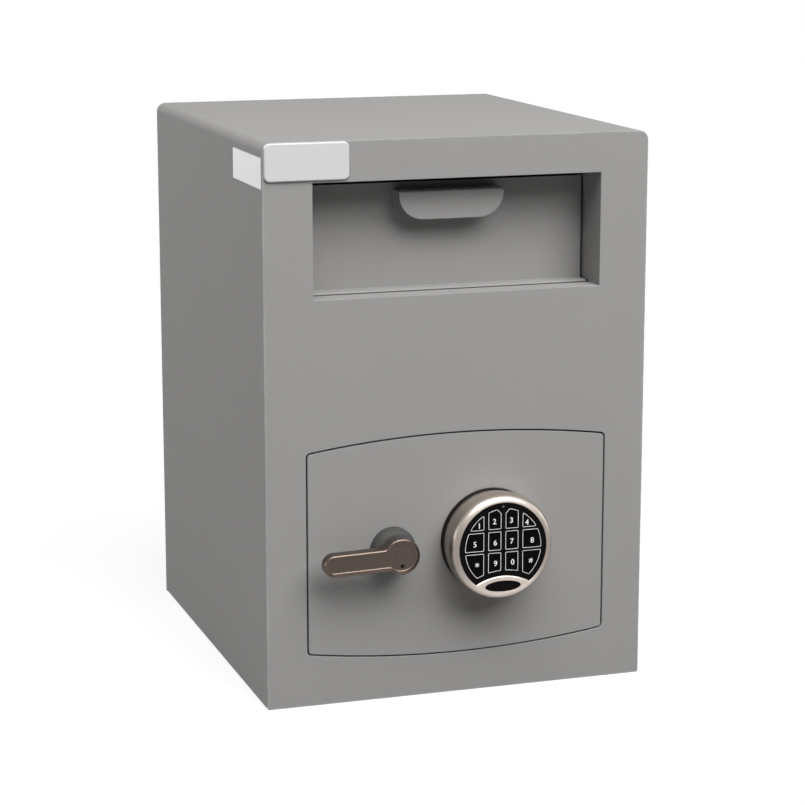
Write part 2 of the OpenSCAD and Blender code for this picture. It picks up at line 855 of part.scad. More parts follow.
module keypad_mat() {
    color([0.2, 0.2, 0.2])
        on_front(pad_x, pad_z)
            translate([0, 0, mat_h])
                difference() {
                    cylinder(r = key_arc_r, h = mat_t);
                    translate([0, lobe_top - lobe_r, -1])
                    cylinder(r = lobe_r, h = mat_t + 2, $fn = 120);
                }
}

module keypad_board() {
    color([0.1, 0.35, 0.2])
        on_front(pad_x, pad_z)
            translate([0, 0, board_h]) cylinder(d = face_d - 3, h = board_t);
}

module keypad_window() {
    color([0.02, 0.02, 0.02])
        on_front(pad_x, pad_z + window_up)
            translate([0, 0, face_h - face_t])
                linear_extrude(face_t + 0.4) polygon(oval(window_w, window_h, 40));
}

module led_lens() {
    color([0.75, 0.75, 0.75])
        on_front(pad_x, pad_z + led_up)
            translate([0, 0, board_h + board_t]) cylinder(r = 1, h = face_h + 0.2 - board_h - board_t);
}

module battery() {
    size = [48.5, 26.5, 17.5];
    color([0.2, 0.2, 0.22])
        on_front(pad_x, pad_z)
            translate([-size[0] / 2, 1, pad_base_t])
                union() {
                    cube([size[0] - 2.5, size[1], size[2]]);
                    translate([size[0] - 2.5, size[1] / 2 - 6, size[2] / 2])
                        rotate([0, 90, 0]) cylinder(d = 6, h = 2.5);
                    translate([size[0] - 2.5, size[1] / 2 + 6, size[2] / 2])
                        rotate([0, 90, 0]) cylinder(d = 6, h = 2.5);
                }
}

// The lever's outline, with its axis at the origin, shrunk by inset.
module lever_outline(inset = 0) {
    tip_r = arm_w / 2;
    offset(delta = -inset)
        offset(r = -3, $fn = 48)
            offset(delta = 3)
                union() {
                    circle(d = head_d, $fn = 96);
                    hull() {
                        translate([0, -arm_drop]) circle(r = tip_r, $fn = 64);
                        translate([tip_r - lever_l, -arm_drop - (lever_l - tip_r) * sin(arm_droop)])
                            circle(r = tip_r, $fn = 64);
                    }
                }
}

module lever_handle() {
    soften = 1;
    back = lever_face - lever_t;
    color([0.6, 0.55, 0.52])
        on_front(spindle_x, door_z)
            difference() {
                union() {
                    translate([0, 0, back]) linear_extrude(lever_t - soften) lever_outline();
                    translate([0, 0, lever_face - soften])
                        linear_extrude(soften / 2) lever_outline(soften / 4);
                    translate([0, 0, lever_face - soften / 2])
                        linear_extrude(soften / 2) lever_outline(soften);
                    translate([0, 0, pad_base_t]) cylinder(d = neck_d, h = back - pad_base_t);
                }
                translate([0, 0, lever_face - rim_depth])
                    linear_extrude(rim_depth + 1) lever_outline(rim_w);
                translate([0, 0, -1]) cylinder(d = spindle_d, h = lever_face - 4 + 1);
                translate([pinhole_at[0], pinhole_at[1], lever_face - 4])
                    cylinder(d = pinhole_d, h = 5);
            }
}

module lever_screw() {
    color([0.1, 0.1, 0.1])
        on_front(spindle_x, door_z)
            translate([pinhole_at[0], pinhole_at[1], lever_face - 4])
                cylinder(d = pinhole_d, h = 1.6);
}

module lever_spindle() {
    color([0.7, 0.7, 0.72])
        on_front(spindle_x, door_z)
            translate([0, 0, -crank_y - crank_t])
                cylinder(d = spindle_d, h = crank_y + crank_t + lever_face - 4);
}

module crank() {
    color([0.66, 0.64, 0.6])
        behind_front(crank_y, spindle_x, door_z)
            difference() {
                union() {
                    cylinder(d = spindle_d + 10, h = crank_t);
                    linear_extrude(crank_t)
                        hull() {
                            circle(d = spindle_d + 6);
                            translate(crank_start) circle(d = crank_pin_d + 5);
                        }
                    translate([crank_start[0], crank_start[1], 0])
                        cylinder(d = crank_pin_d, h = crank_t + 2 + carriage_t + 2);
                }
                translate([0, 0, -1]) cylinder(d = spindle_d, h = crank_t + 2);
            }
}

module bolt_carriage() {
    dog_end = lock_left - latch_out - 0.3;
    pin_slot = crank_pin_d + 2 * crank_play;
    pin_rise = crank_r - crank_start[1] + crank_pin_d + 2;
    color([0.6, 0.6, 0.62])
        union() {
            behind_front(bolt_y - carriage_t / 2, 0, door_z)
                difference() {
                    union() {
                        translate([flange_x + flange_t, -carriage_h / 2, 0])
                            cube([carriage_right - flange_x - flange_t, carriage_h, carriage_t]);
                        translate([carriage_right - 1, pad_up - latch_w / 2, 0])
                            cube([dog_end - carriage_right + 1, latch_w, carriage_t]);
                    }
                    for (x = stud_x, s = [-1, 1])
                        translate([x, s * stud_z, -1])
                            slot(throw_x, stud_d + 2 * stud_play, carriage_t + 2);
                    translate([spindle_x + crank_start[0] - pin_slot / 2, 0, -1])
                        translate([0, crank_start[1] - crank_pin_d / 2 - 1, 0])
                            cube([pin_slot, pin_rise, carriage_t + 2]);
                }
            translate([flange_x, front_y + bolt_y - bolt_d / 2 - 1, door_z - carriage_h / 2])
                difference() {
                    cube([flange_t, bolt_d + 2, carriage_h]);
                    for (z = [carriage_h / 2 - bolt_gap / 2, carriage_h / 2 + bolt_gap / 2])
                        translate([-1, bolt_d / 2 + 1, z])
                            rotate([0, 90, 0]) cylinder(d = bolt_d / 2, h = flange_t + 2);
                }
        }
}

// A slot that runs right from the origin by l, with round ends of the given width.
module slot(l, w, h) {
    cylinder(d = w, h = h);
    translate([0, -w / 2, 0]) cube([l, w, h]);
    translate([l, 0, 0]) cylinder(d = w, h = h);
}

// Each bolt has a round nose, and is riveted through the carriage's flange.
module locking_bolts() {
    nose = 2;
    color([0.78, 0.78, 0.8])
        both_ends()
            translate([bolt_tip, front_y + bolt_y, door_z + bolt_gap / 2])
                rotate([0, 90, 0])
                    union() {
                        cylinder(d1 = bolt_d - 2 * nose, d2 = bolt_d, h = nose);
                        translate([0, 0, nose]) cylinder(d = bolt_d, h = bolt_l - nose);
                        translate([0, 0, bolt_l]) cylinder(d = bolt_d / 2, h = flange_t);
                        translate([0, 0, bolt_l + flange_t])
                            intersection() {
                                cylinder(d = bolt_d * 0.8, h = 3);
                                translate([-bolt_d, carriage_t / 2, 0]) cube([2 * bolt_d, bolt_d, 3]);
                            }
                    }
}

module lock_bolt() {
    color([0.75, 0.65, 0.4])
        translate([lock_left - latch_out, front_y + bolt_y - latch_t / 2, pad_z - latch_w / 2])
            cube([latch_l, latch_t, latch_w]);
}

// The panel's sheet is rolled round the rod at its foot.
module hopper_front() {
    web_z = barrel_r - panel_t;
    color(paint)
        difference() {
            union() {
                along_x(panel_w)
                    at_rod()
                        union() {
                            translate([panel_back - panel_t, web_z])
                                square([panel_t, panel_top - web_z]);
                            translate([0, web_z]) square([panel_back, panel_t]);
                        }
                translate([-panel_w / 2, front_y + rod_setback, rod_z])
                    rotate([0, 90, 0]) cylinder(d = barrel_d, h = panel_w);
            }
            translate([-body_w / 2, front_y + rod_setback, rod_z])
                rotate([0, 90, 0]) cylinder(d = rod_d + 2 * rod_play, h = body_w);
        }
}

// The lip in front view, with its top edge at height 0.
module pull_outline() {
    w = pull_w / 2;
    r = pull_corner_r;
    corner = arc([w - r, r - pull_h], r, -90, 0, 10);
    polygon(concat(corner, [[w, 0], [-w, 0]], flip_x(corner)));
}

module hopper_handle() {
    lip = panel_setback - pull_depth;
    r = pull_bend_r;
    ri = r - pull_t;
    color(paint)
        difference() {
            intersection() {
                along_x(pull_w)
                    translate([0, pull_top])
                        polygon(concat(
                            [[panel_setback, 0], [panel_setback, -pull_h]],
                            [[panel_setback - pull_t, -pull_h], [panel_setback - pull_t, -pull_t]],
                            arc([lip + r, -r], ri, 90, 180, 6),
                            [[lip + pull_t, -pull_h], [lip, -pull_h]],
                            arc([lip + r, -r], r, 180, 90, 6)
                        ));
                behind_front(0, 0, pull_top)
                    linear_extrude(panel_setback) pull_outline();
            }
            rivet_places() cylinder(d = 4, h = pull_t + 2);
        }
}

module rivet_places() {
    for (s = [-1, 1])
        behind_front(panel_setback - pull_t - 1, s * rivet_gap / 2, pull_top - pull_h * 0.45)
            children();
}

module handle_rivets() {
    color([0.7, 0.7, 0.7])
        rivet_places()
            union() {
                translate([0, 0, -0.6]) cylinder(d = 7, h = 1.6);
                translate([0, 0, 1]) cylinder(d = 4, h = pull_t);
            }
}

module hopper_tray() {
    color([0.6, 0.6, 0.6])
        along_x(panel_w - 1)
            at_rod()
                difference() {
                    rotate(-tray_angle) translate([-tray_t / 2, 0]) square([tray_t, swing_r]);
                    circle(r = barrel_r);
                }
}

module hopper_cheeks() {
    far = 2 * swing_r;
    color([0.6, 0.6, 0.6])
        both_sides()
            translate([cheek_x + cheek_t / 2, 0, 0])
                along_x(cheek_t)
                    at_rod()
                        difference() {
                            intersection() {
                                circle(r = swing_r, $fn = 180);
                                polygon([
                                    [panel_back, 0], [panel_back, far], [far, far],
                                    far * [sin(tray_angle), cos(tray_angle)], [0, 0]
                                ]);
                            }
                            circle(r = barrel_r);
                            rotate(-tray_angle) translate([-tray_t / 2, 0]) square([far, far]);
                            translate([-far, -far]) square([far + panel_back, 2 * far]);
                        }
}

body_wrap();
back_plate();
base_plate();
front_plate();
hopper_sill();
hopper_sides();
hopper_hood();
hopper_hinge_rod();
hopper_washers();
hopper_stops();
bolt_keeper();
badge();
side_label();
door_plate();
bolt_frame();
bolt_cover();
cover_screws();
hinge_pins();
anti_drill_plate();
lock_case();
lock_screws();
lock_cable();
carriage_guides();
spindle_bush();
lever_rose();
keypad_base();
keypad_screws();
keypad_bezel();
keypad_face();
keypad_mat();
keypad_board();
keypad_window();
led_lens();
battery();
lever_handle();
lever_screw();
lever_spindle();
crank();
bolt_carriage();
locking_bolts();
lock_bolt();
hopper_front();
hopper_handle();
handle_rivets();
hopper_tray();
hopper_cheeks();
for (k = KEYS)
    key(k[0]);
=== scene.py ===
"""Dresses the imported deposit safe: softened metalwork, pull, lever, keypad, badge, finishes and studio."""

import json
import math
from contextlib import contextmanager

import bmesh
import bpy
from bpy.props import FloatProperty, FloatVectorProperty, PointerProperty
from mathutils import Matrix, Vector


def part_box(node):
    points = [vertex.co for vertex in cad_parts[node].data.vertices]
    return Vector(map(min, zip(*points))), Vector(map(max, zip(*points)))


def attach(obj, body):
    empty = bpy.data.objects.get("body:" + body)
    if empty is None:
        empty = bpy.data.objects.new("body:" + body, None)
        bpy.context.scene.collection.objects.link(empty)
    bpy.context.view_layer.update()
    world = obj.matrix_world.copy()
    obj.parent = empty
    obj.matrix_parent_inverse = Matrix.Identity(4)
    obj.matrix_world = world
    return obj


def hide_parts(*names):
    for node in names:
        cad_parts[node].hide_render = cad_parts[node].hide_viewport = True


bl_info = {
    "name": "Deposit Safe",
    "version": (1, 0, 0),
    "blender": (4, 5, 0),
    "location": "3D View > Sidebar > Safe",
    "description": "Models the visible pieces and finishes of a deposit safe round its packed frame",
    "category": "Object",
}

MM = 0.001
# How far off a plane or a circle a vertex may lie and still count as on it.
TOUCH = 0.02 * MM
# How near vertices are merged.
MERGE = 0.005 * MM
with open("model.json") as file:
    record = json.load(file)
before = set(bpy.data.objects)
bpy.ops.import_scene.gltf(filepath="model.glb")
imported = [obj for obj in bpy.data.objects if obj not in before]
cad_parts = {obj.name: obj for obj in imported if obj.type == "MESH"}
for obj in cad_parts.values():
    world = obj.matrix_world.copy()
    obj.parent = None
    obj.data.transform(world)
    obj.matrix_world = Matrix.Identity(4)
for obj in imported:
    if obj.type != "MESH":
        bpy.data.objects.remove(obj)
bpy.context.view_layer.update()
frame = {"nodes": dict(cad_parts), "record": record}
NODES = frame["nodes"]
SLOT_OF = {part["node"]: part["material_slot"] for part in frame["record"]["subparts"]}
BODY_OF = {node: body for body, nodes in frame["record"]["behaviour"]["bodies"].items() for node in nodes}


def middle(node):
    low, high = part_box(node)
    return (low + high) / 2


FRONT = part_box("front_plate")[0].y
CABINET_W = 2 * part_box("front_plate")[1].x
CABINET_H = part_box("front_plate")[1].z
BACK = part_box("back_plate")[1].y
HUB = middle("lever_spindle")
PAD = middle("keypad_base")


def length(name, description, value):
    return FloatProperty(name=name, description=description, default=value, min=0, unit="LENGTH", precision=5)


def colour(name, description, value):
    return FloatVectorProperty(
        name=name, description=description, default=value, size=3, min=0, max=1, subtype="COLOR")


def power(name, description, value):
    return FloatProperty(name=name, description=description, default=value, min=0, unit="POWER")


class SafeMetalwork(bpy.types.PropertyGroup):
    """Sizes and colours of the painted metalwork"""
    paint: colour("Paint", "Colour of the powder coat", (0.340, 0.334, 0.328))
    edge: length("Edge", "Radius of the softened edges of the plates", 0.8 * MM)
    gap_edge: length("Gap edge", "Radius of the edges on both sides of the door's gap", 0.45 * MM)
    foot: length("Foot corner", "Radius of the front's lower corners", 2 * MM)
    grain: length("Grain", "Size of the powder coat's texture", 0.8 * MM)


class SafePull(bpy.types.PropertyGroup):
    """Sizes of the hopper's pull"""
    sheet: length("Sheet", "Thickness of the pull's sheet", 2 * MM)
    corner: length("Corner", "Radius of the lip's lower corners", 22 * MM)
    bend: length("Bend", "Outer radius of the bend over the lip", 5 * MM)
    foot_bend: length("Foot bend", "Outer radius of the bend at the panel", 4 * MM)
    flange: length("Flange", "Height of the flange on the panel", 21 * MM)
    flange_corner: length("Flange corner", "Radius of the flange's lower corners", 6 * MM)


class SafeLever(bpy.types.PropertyGroup):
    """Sizes and colour of the lever"""
    # Set much darker than satin nickel is: painted shade that stands in for the dark reflection on the lever.
    metal: colour("Metal", "Colour of the satin nickel", (0.098, 0.070, 0.055))
    head: length("Head", "Radius of the round head", 16.35 * MM)
    reach: length("Reach", "Distance from the axis to the tip", 70.2 * MM)
    arm: length("Arm", "Height of the arm", 20.2 * MM)
    drop: length("Drop", "Drop of the arm's middle below the axis", 2 * MM)
    droop: FloatProperty(
        name="Droop", description="Angle that the arm falls by", default=math.radians(1.6), unit="ROTATION")
    fillet: length("Fillet", "Radius where the arm meets the head", 3 * MM)
    shoulder: length("Shoulder", "Radius of the round edge of the face", 2.1 * MM)
    rim: length("Rim", "Width of the flat rim round the field", 0.9 * MM)
    field: length("Field", "Depth of the field inside the rim", 0.8 * MM)
    neck: length("Neck", "Radius of the neck behind the head", 11 * MM)


class SafeKeypad(bpy.types.PropertyGroup):
    """Sizes and colours of the keypad"""
    nickel: colour("Nickel", "Colour of the brushed bezel", (0.60, 0.53, 0.47))
    ink: colour("Ink", "Colour of the key outlines and figures", (0.95, 0.95, 0.95))
    line: length("Line", "Width of the outline on each key", 0.45 * MM)
    margin: length("Margin", "Distance of the outline in from the key's edge", 0.15 * MM)
    ink_t: length("Ink thickness", "Thickness of the printed ink", 0.05 * MM)
    figure: length("Figure", "Height of a figure", 5 * MM)
    lobe: length("Lobe edge", "Radius of the round edge of the window's surround", 1.5 * MM)


class SafeStudio(bpy.types.PropertyGroup):
    """Level of the studio's light"""
    key: power("Key", "Power of the soft box over the front, at the right", 184)
    high: power("High", "Power of the soft box high over the front, at the left", 127)
    left: power("Left", "Power of the low soft box at the left", 68)
    right: power("Right", "Power of the low soft box at the right", 50)
    back: power("Back", "Power of the low soft box behind", 75)
    world: FloatProperty(name="World", description="Level of the light from all round", default=0.01, min=0)


def settings(group):
    return getattr(bpy.context.scene, "safe_" + group)


# Modelling helpers

def deselect():
    bpy.ops.object.select_all(action="DESELECT")


def activate(piece):
    deselect()
    piece.select_set(True)
    bpy.context.view_layer.objects.active = piece


@contextmanager
def editing(piece):
    activate(piece)
    bpy.ops.object.mode_set(mode="EDIT")
    yield
    bpy.ops.object.mode_set(mode="OBJECT")


def pick(piece, kind, test):
    """Selects the vertices, edges or faces that pass the test, in edit mode."""
    bpy.ops.mesh.select_mode(type=kind)
    bpy.ops.mesh.select_all(action="DESELECT")
    shape = bmesh.from_edit_mesh(piece.data)
    shape.normal_update()
    for part in {"VERT": shape.verts, "EDGE": shape.edges, "FACE": shape.faces}[kind]:
        if test(part):
            part.select_set(True)
    bmesh.update_edit_mesh(piece.data)


def pick_all(kind="VERT"):
    bpy.ops.mesh.select_mode(type=kind)
    bpy.ops.mesh.select_all(action="SELECT")


def new_piece(name):
    """Names the primitive that was just added and puts its place into its mesh."""
    piece = bpy.context.object
    piece.name = piece.data.name = name
    bpy.ops.object.transform_apply(location=True, rotation=True, scale=True)
    return piece


def block(name, low, high):
    deselect()
    low, high = Vector(low), Vector(high)
    bpy.ops.mesh.primitive_cube_add(size=1, location=(low + high) / 2)
    bpy.context.object.scale = high - low
    return new_piece(name)


def drum(name, radius, start, end, sides=64):
    """A cylinder from start to end, which differ along one axis."""
    deselect()
    start, end = Vector(start), Vector(end)
    turn = (end - start).to_track_quat("Z", "Y").to_euler()
    bpy.ops.mesh.primitive_cylinder_add(
        vertices=sides, radius=radius, depth=(end - start).length, location=(start + end) / 2, rotation=turn)
    return new_piece(name)


def draw_line(name, points, closed=False):
    """Draws a chain of edges by pulling one vertex from point to point."""
    deselect()
    bpy.ops.mesh.primitive_plane_add(size=MM, location=points[0])
    piece = new_piece(name)
    with editing(piece):
        pick_all()
        bpy.ops.mesh.merge(type="CENTER")
        for a, b in zip(points, points[1:]):
            bpy.ops.mesh.extrude_vertices_move(TRANSFORM_OT_translate={"value": Vector(b) - Vector(a)})
        if closed:
            pick_all()
            bpy.ops.mesh.edge_face_add()
    return piece


def pull(step):
    """Extrudes what is selected by a step."""
    bpy.ops.mesh.extrude_region_move(TRANSFORM_OT_translate={"value": step})


def lathe(name, profile, centre, steps=96):
    """Turns a closed profile of [radius, distance out of the front] round an axis along Y."""
    points = [centre + Vector((r, -out, 0)) for r, out in profile]
    piece = draw_line(name, points)
    with editing(piece):
        pick_all()
        bpy.ops.mesh.spin(steps=steps, angle=2 * math.pi, center=centre, axis=(0, 1, 0))
        pick_all()
        bpy.ops.mesh.remove_doubles(threshold=MERGE)
        bpy.ops.mesh.normals_make_consistent(inside=False)
    return piece


def oval(centre, across, up, angles):
    """Points of an ellipse at some angles, in degrees from its first axis."""
    turns = [math.radians(angle) for angle in angles]
    return [(centre[0] + across * math.cos(t), centre[1] + up * math.sin(t)) for t in turns]


def arc(centre, radius, start, end, steps):
    """Points of an arc in a plane, in degrees, with both ends."""
    return oval(centre, radius, radius, [start + (end - start) * i / steps for i in range(steps + 1)])


def domed_head(radius, top, flat):
    """Half the profile of a domed head, which falls from its top in the middle to flat at its rim."""
    return [(0, top), *oval((0, flat), radius, top - flat, range(75, -1, -15))]


def apply_modifier(piece, kind, **values):
    activate(piece)
    modifier = piece.modifiers.new(kind.title(), kind)
    for key, value in values.items():
        setattr(modifier, key, value)
    bpy.ops.object.modifier_apply(modifier=modifier.name)


def cut(piece, tool, operation="DIFFERENCE"):
    apply_modifier(piece, "BOOLEAN", operation=operation, object=tool, solver="EXACT")
    bpy.data.objects.remove(tool)


def join(pieces):
    deselect()
    for piece in pieces:
        piece.select_set(True)
    bpy.context.view_layer.objects.active = pieces[0]
    bpy.ops.object.join()
    return pieces[0]


def copy_of(node, name):
    """A merged copy of a CAD node, with its flat faces whole."""
    piece = bpy.data.objects.new(name, NODES[node].data.copy())
    bpy.context.scene.collection.objects.link(piece)
    with editing(piece):
        pick_all()
        bpy.ops.mesh.customdata_custom_splitnormals_clear()
        bpy.ops.mesh.remove_doubles(threshold=MERGE)
        bpy.ops.mesh.dissolve_limited(angle_limit=math.radians(0.4))
    return piece


def soften(piece, width, test=lambda edge: True, segments=3, sharp=35, clamp=True):
    """Rounds the sharp edges that pass the test."""
    limit = math.radians(sharp)
    with editing(piece):
        pick(piece, "EDGE", lambda e: len(e.link_faces) == 2 and e.calc_face_angle(0) > limit and test(e))
        bpy.ops.mesh.bevel(offset=width, segments=segments, affect="EDGES", clamp_overlap=clamp)


def faces_out(face):
    """A test for faces that look straight out of the front."""
    return face.normal.y < -0.99


def on_plane(axis, value):
    """A test for edges that lie in a plane across an axis."""
    return lambda edge: all(abs(v.co[axis] - value) < TOUCH for v in edge.verts)


def finish_piece(piece, stands_for=(), body=None, slot=None):
    """Shades a piece, gives it its finish, and puts it on its body in place of its CAD nodes."""
    slot = slot or SLOT_OF[stands_for[0]]
    activate(piece)
    bpy.ops.object.shade_smooth_by_angle(angle=math.radians(40))
    apply_modifier(piece, "WEIGHTED_NORMAL", keep_sharp=True)
    piece.data.materials.clear()
    piece.data.materials.append(finish(slot))
    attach(piece, body or BODY_OF[stands_for[0]])
    if stands_for:
        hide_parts(*stands_for)
    return piece


def dress_copy(node, name, width, test=lambda edge: True, segments=3):
    """A CAD node's own shape with softened edges."""
    piece = copy_of(node, name)
    soften(piece, width, test, segments)
    return finish_piece(piece, [node])


# Materials

def feed(tree, node, inputs):
    """Links each of a node's inputs to the socket given for it, or sets it to the value."""
    for socket, value in inputs.items():
        if isinstance(value, bpy.types.NodeSocket):
            tree.links.new(value, node.inputs[socket])
        else:
            node.inputs[socket].default_value = value


def add_node(tree, kind, inputs=(), **values):
    node = tree.nodes.new(kind)
    for key, value in values.items():
        setattr(node, key, value)
    feed(tree, node, dict(inputs))
    return node


def maths(tree, operation, *values):
    return add_node(tree, "ShaderNodeMath", dict(enumerate(values)), operation=operation).outputs[0]


def spread(tree, value, low, high, to_low=0.0, to_high=1.0):
    """Maps a value from one range to another, clamped."""
    inputs = {"Value": value, "From Min": low, "From Max": high, "To Min": to_low, "To Max": to_high}
    return add_node(tree, "ShaderNodeMapRange", inputs, clamp=True).outputs[0]


def blend_colours(tree, factor, first, second):
    low, high = [c if isinstance(c, bpy.types.NodeSocket) else (*c[:3], 1) for c in (first, second)]
    return add_node(tree, "ShaderNodeMix", {0: factor, 6: low, 7: high}, data_type="RGBA").outputs[2]


def new_group(name, inputs, outputs):
    """A shader node group, with what its inputs give and its outputs take."""
    tree = bpy.data.node_groups.new(name, "ShaderNodeTree")
    for label, kind, value in inputs:
        socket = tree.interface.new_socket(label, in_out="INPUT", socket_type="NodeSocket" + kind)
        if value is not None:
            socket.default_value = value
    for label in outputs:
        tree.interface.new_socket(label, in_out="OUTPUT", socket_type="NodeSocketFloat")
    return tree, tree.nodes.new("NodeGroupInput").outputs, tree.nodes.new("NodeGroupOutput").inputs


def noise(tree, vector, scale, detail=3.0, roughness=0.55):
    inputs = {"Vector": vector, "Scale": scale, "Detail": detail, "Roughness": roughness}
    return add_node(tree, "ShaderNodeTexNoise", inputs).outputs["Fac"]


def build_coat_group():
    """Powder coat: a fine pebbled skin, and slow changes of tone."""
    tree, given, gives = new_group(
        "Coat", [("Vector", "Vector", None), ("Grain", "Float", 0.8 * MM)], ["Height", "Tone", "Speck"])
    place, scale = given["Vector"], maths(tree, "DIVIDE", 1.0, given["Grain"])
    cells = add_node(tree, "ShaderNodeTexVoronoi", {"Vector": place, "Scale": scale}, feature="SMOOTH_F1")
    skin = noise(tree, place, scale, detail=2.0)
    tree.links.new(maths(tree, "ADD", cells.outputs["Distance"], skin), gives["Height"])
    tree.links.new(spread(tree, noise(tree, place, 9.0, detail=4.0), 0.3, 0.7), gives["Tone"])
    tree.links.new(spread(tree, noise(tree, place, 420.0, detail=2.0), 0.35, 0.65), gives["Speck"])


def build_rim_group():
    """Wear and a painted highlight along the front edge of a box, which is given by its middle height and
    half sizes.
    """
    tree, given, gives = new_group(
        "Rim Wear",
        [("Vector", "Vector", None), ("Centre Z", "Float", 0.0), ("Half Width", "Float", 0.1),
         ("Half Height", "Float", 0.1), ("Front", "Float", 0.0), ("Width", "Float", MM)], ["Mask"])
    place = add_node(tree, "ShaderNodeSeparateXYZ", {0: given["Vector"]}).outputs
    up = maths(tree, "ABSOLUTE", maths(tree, "SUBTRACT", place["Z"], given["Centre Z"]))
    side = maths(tree, "SUBTRACT", maths(tree, "ABSOLUTE", place["X"]), given["Half Width"])
    over = maths(tree, "SUBTRACT", up, given["Half Height"])
    edge = maths(tree, "ABSOLUTE", maths(tree, "MAXIMUM", side, over))
    depth = maths(tree, "ABSOLUTE", maths(tree, "SUBTRACT", place["Y"], given["Front"]))
    away = maths(tree, "DIVIDE", maths(tree, "ADD", edge, depth), given["Width"])
    chips = spread(tree, noise(tree, given["Vector"], 60.0, detail=5.0), 0.42, 0.62, 0.25, 1.0)
    tree.links.new(maths(tree, "MULTIPLY", spread(tree, away, 0.6, 1.4, 1.0, 0.0), chips), gives["Mask"])


def build_streak_group():
    """Brushed metal: fine streaks along the long axis of a stretched pattern."""
    tree, given, gives = new_group(
        "Streaks", [("Vector", "Vector", None), ("Fineness", "Float", 3000.0)], ["Height", "Tone"])
    fine = noise(tree, given["Vector"], given["Fineness"], detail=3.0, roughness=0.6)
    broad = noise(tree, given["Vector"], maths(tree, "MULTIPLY", given["Fineness"], 0.13), detail=2.0)
    tree.links.new(fine, gives["Height"])
    tree.links.new(spread(tree, maths(tree, "ADD", fine, broad), 0.7, 1.3), gives["Tone"])


def build_cast_group():
    """Cast metal: a pitted, mottled skin with darker hollows."""
    tree, given, gives = new_group(
        "Cast", [("Vector", "Vector", None), ("Grain", "Float", MM)], ["Height", "Hollows"])
    scale = maths(tree, "DIVIDE", 1.0, given["Grain"])
    lumps = noise(tree, given["Vector"], scale, detail=4.0, roughness=0.65)
    pits = add_node(tree, "ShaderNodeTexVoronoi", {"Vector": given["Vector"], "Scale": scale}, feature="F1")
    height = maths(tree, "ADD", lumps, maths(tree, "MULTIPLY", pits.outputs["Distance"], 0.4))
    tree.links.new(height, gives["Height"])
    tree.links.new(spread(tree, lumps, 0.58, 0.36), gives["Hollows"])


def group(tree, name, inputs):
    return add_node(tree, "ShaderNodeGroup", inputs, node_tree=bpy.data.node_groups[name]).outputs


def start_material(name):
    """A new material's tree, its Principled BSDF, and its Object coordinates."""
    material = bpy.data.materials.new(name)
    material.use_nodes = True
    tree = material.node_tree
    shader = tree.nodes["Principled BSDF"]
    return material, tree, shader, add_node(tree, "ShaderNodeTexCoord").outputs["Object"]


def bump(tree, height, distance, strength=1.0):
    inputs = {"Height": height, "Distance": distance, "Strength": strength}
    return add_node(tree, "ShaderNodeBump", inputs).outputs["Normal"]


def shade(value, factor):
    return tuple(min(1.0, c * factor) for c in value)


def paint_material(name, paint, grain, wear_and_highlight=True, rough=(0.55, 0.65)):
    """Powder coat with a pebbled skin, drifting tone, and bright wear along the front edges that is also a
    painted highlight.
    """
    material, tree, shader, place = start_material(name)
    coat = group(tree, "Coat", {"Vector": place, "Grain": grain})
    toned = blend_colours(tree, coat["Tone"], shade(paint, 0.985), shade(paint, 1.015))
    base = blend_colours(tree, maths(tree, "MULTIPLY", coat["Speck"], 0.35), toned, shade(paint, 0.9))
    if wear_and_highlight:
        rim = group(tree, "Rim Wear", {
            "Vector": place, "Centre Z": CABINET_H / 2, "Half Width": CABINET_W / 2,
            "Half Height": CABINET_H / 2, "Front": FRONT, "Width": 1.3 * MM})["Mask"]
        # The lighter band along the front edges is partly wear and partly a painted highlight on the edges.
        base = blend_colours(tree, maths(tree, "MULTIPLY", rim, 0.4), base, shade(paint, 1.5))
    # More gloss would mirror the white surround on faces that are seen at a low angle.
    feed(tree, shader, {
        "Base Color": base, "Roughness": spread(tree, coat["Tone"], 0.0, 1.0, *rough),
        "Specular IOR Level": 0.003, "Normal": bump(tree, coat["Height"], 0.035 * MM, 0.6)})
    return material


def brushed_material(name, metal, stretch, rough, dark=0.8):
    """Metal brushed along one axis, which stretch makes long."""
    material, tree, shader, place = start_material(name)
    long = add_node(tree, "ShaderNodeMapping", {"Vector": place, "Scale": stretch}).outputs[0]
    streak = group(tree, "Streaks", {"Vector": long, "Fineness": 3000.0})
    feed(tree, shader, {
        "Base Color": blend_colours(tree, streak["Tone"], shade(metal, dark), metal), "Metallic": 1.0,
        "Roughness": spread(tree, streak["Tone"], 0.0, 1.0, rough[1], rough[0]),
        "Normal": bump(tree, streak["Height"], 0.006 * MM)})
    return material


def moulded_material(name, plastic, grain, rough=(0.35, 0.5), depth=0.02 * MM, coat=0.0, tint=0.7, gloss=0.5):
    """Moulded plastic or rubber with a fine skin."""
    material, tree, shader, place = start_material(name)
    skin = group(tree, "Coat", {"Vector": place, "Grain": grain})
    feed(tree, shader, {
        "Base Color": blend_colours(tree, skin["Tone"], shade(plastic, tint), plastic),
        "Roughness": spread(tree, skin["Speck"], 0.0, 1.0, *rough), "Coat Weight": coat,
        "Specular IOR Level": gloss, "Normal": bump(tree, skin["Height"], depth)})
    return material


def cast_material(name, metal, grain, dark, rough=(0.35, 0.55), depth=0.05 * MM, metallic=1.0):
    """Cast metal with darker hollows."""
    material, tree, shader, place = start_material(name)
    cast = group(tree, "Cast", {"Vector": place, "Grain": grain})
    feed(tree, shader, {
        "Base Color": blend_colours(tree, cast["Hollows"], metal, shade(metal, dark)), "Metallic": metallic,
        "Roughness": spread(tree, cast["Hollows"], 0.0, 1.0, *rough),
        "Normal": bump(tree, cast["Height"], depth)})
    return material


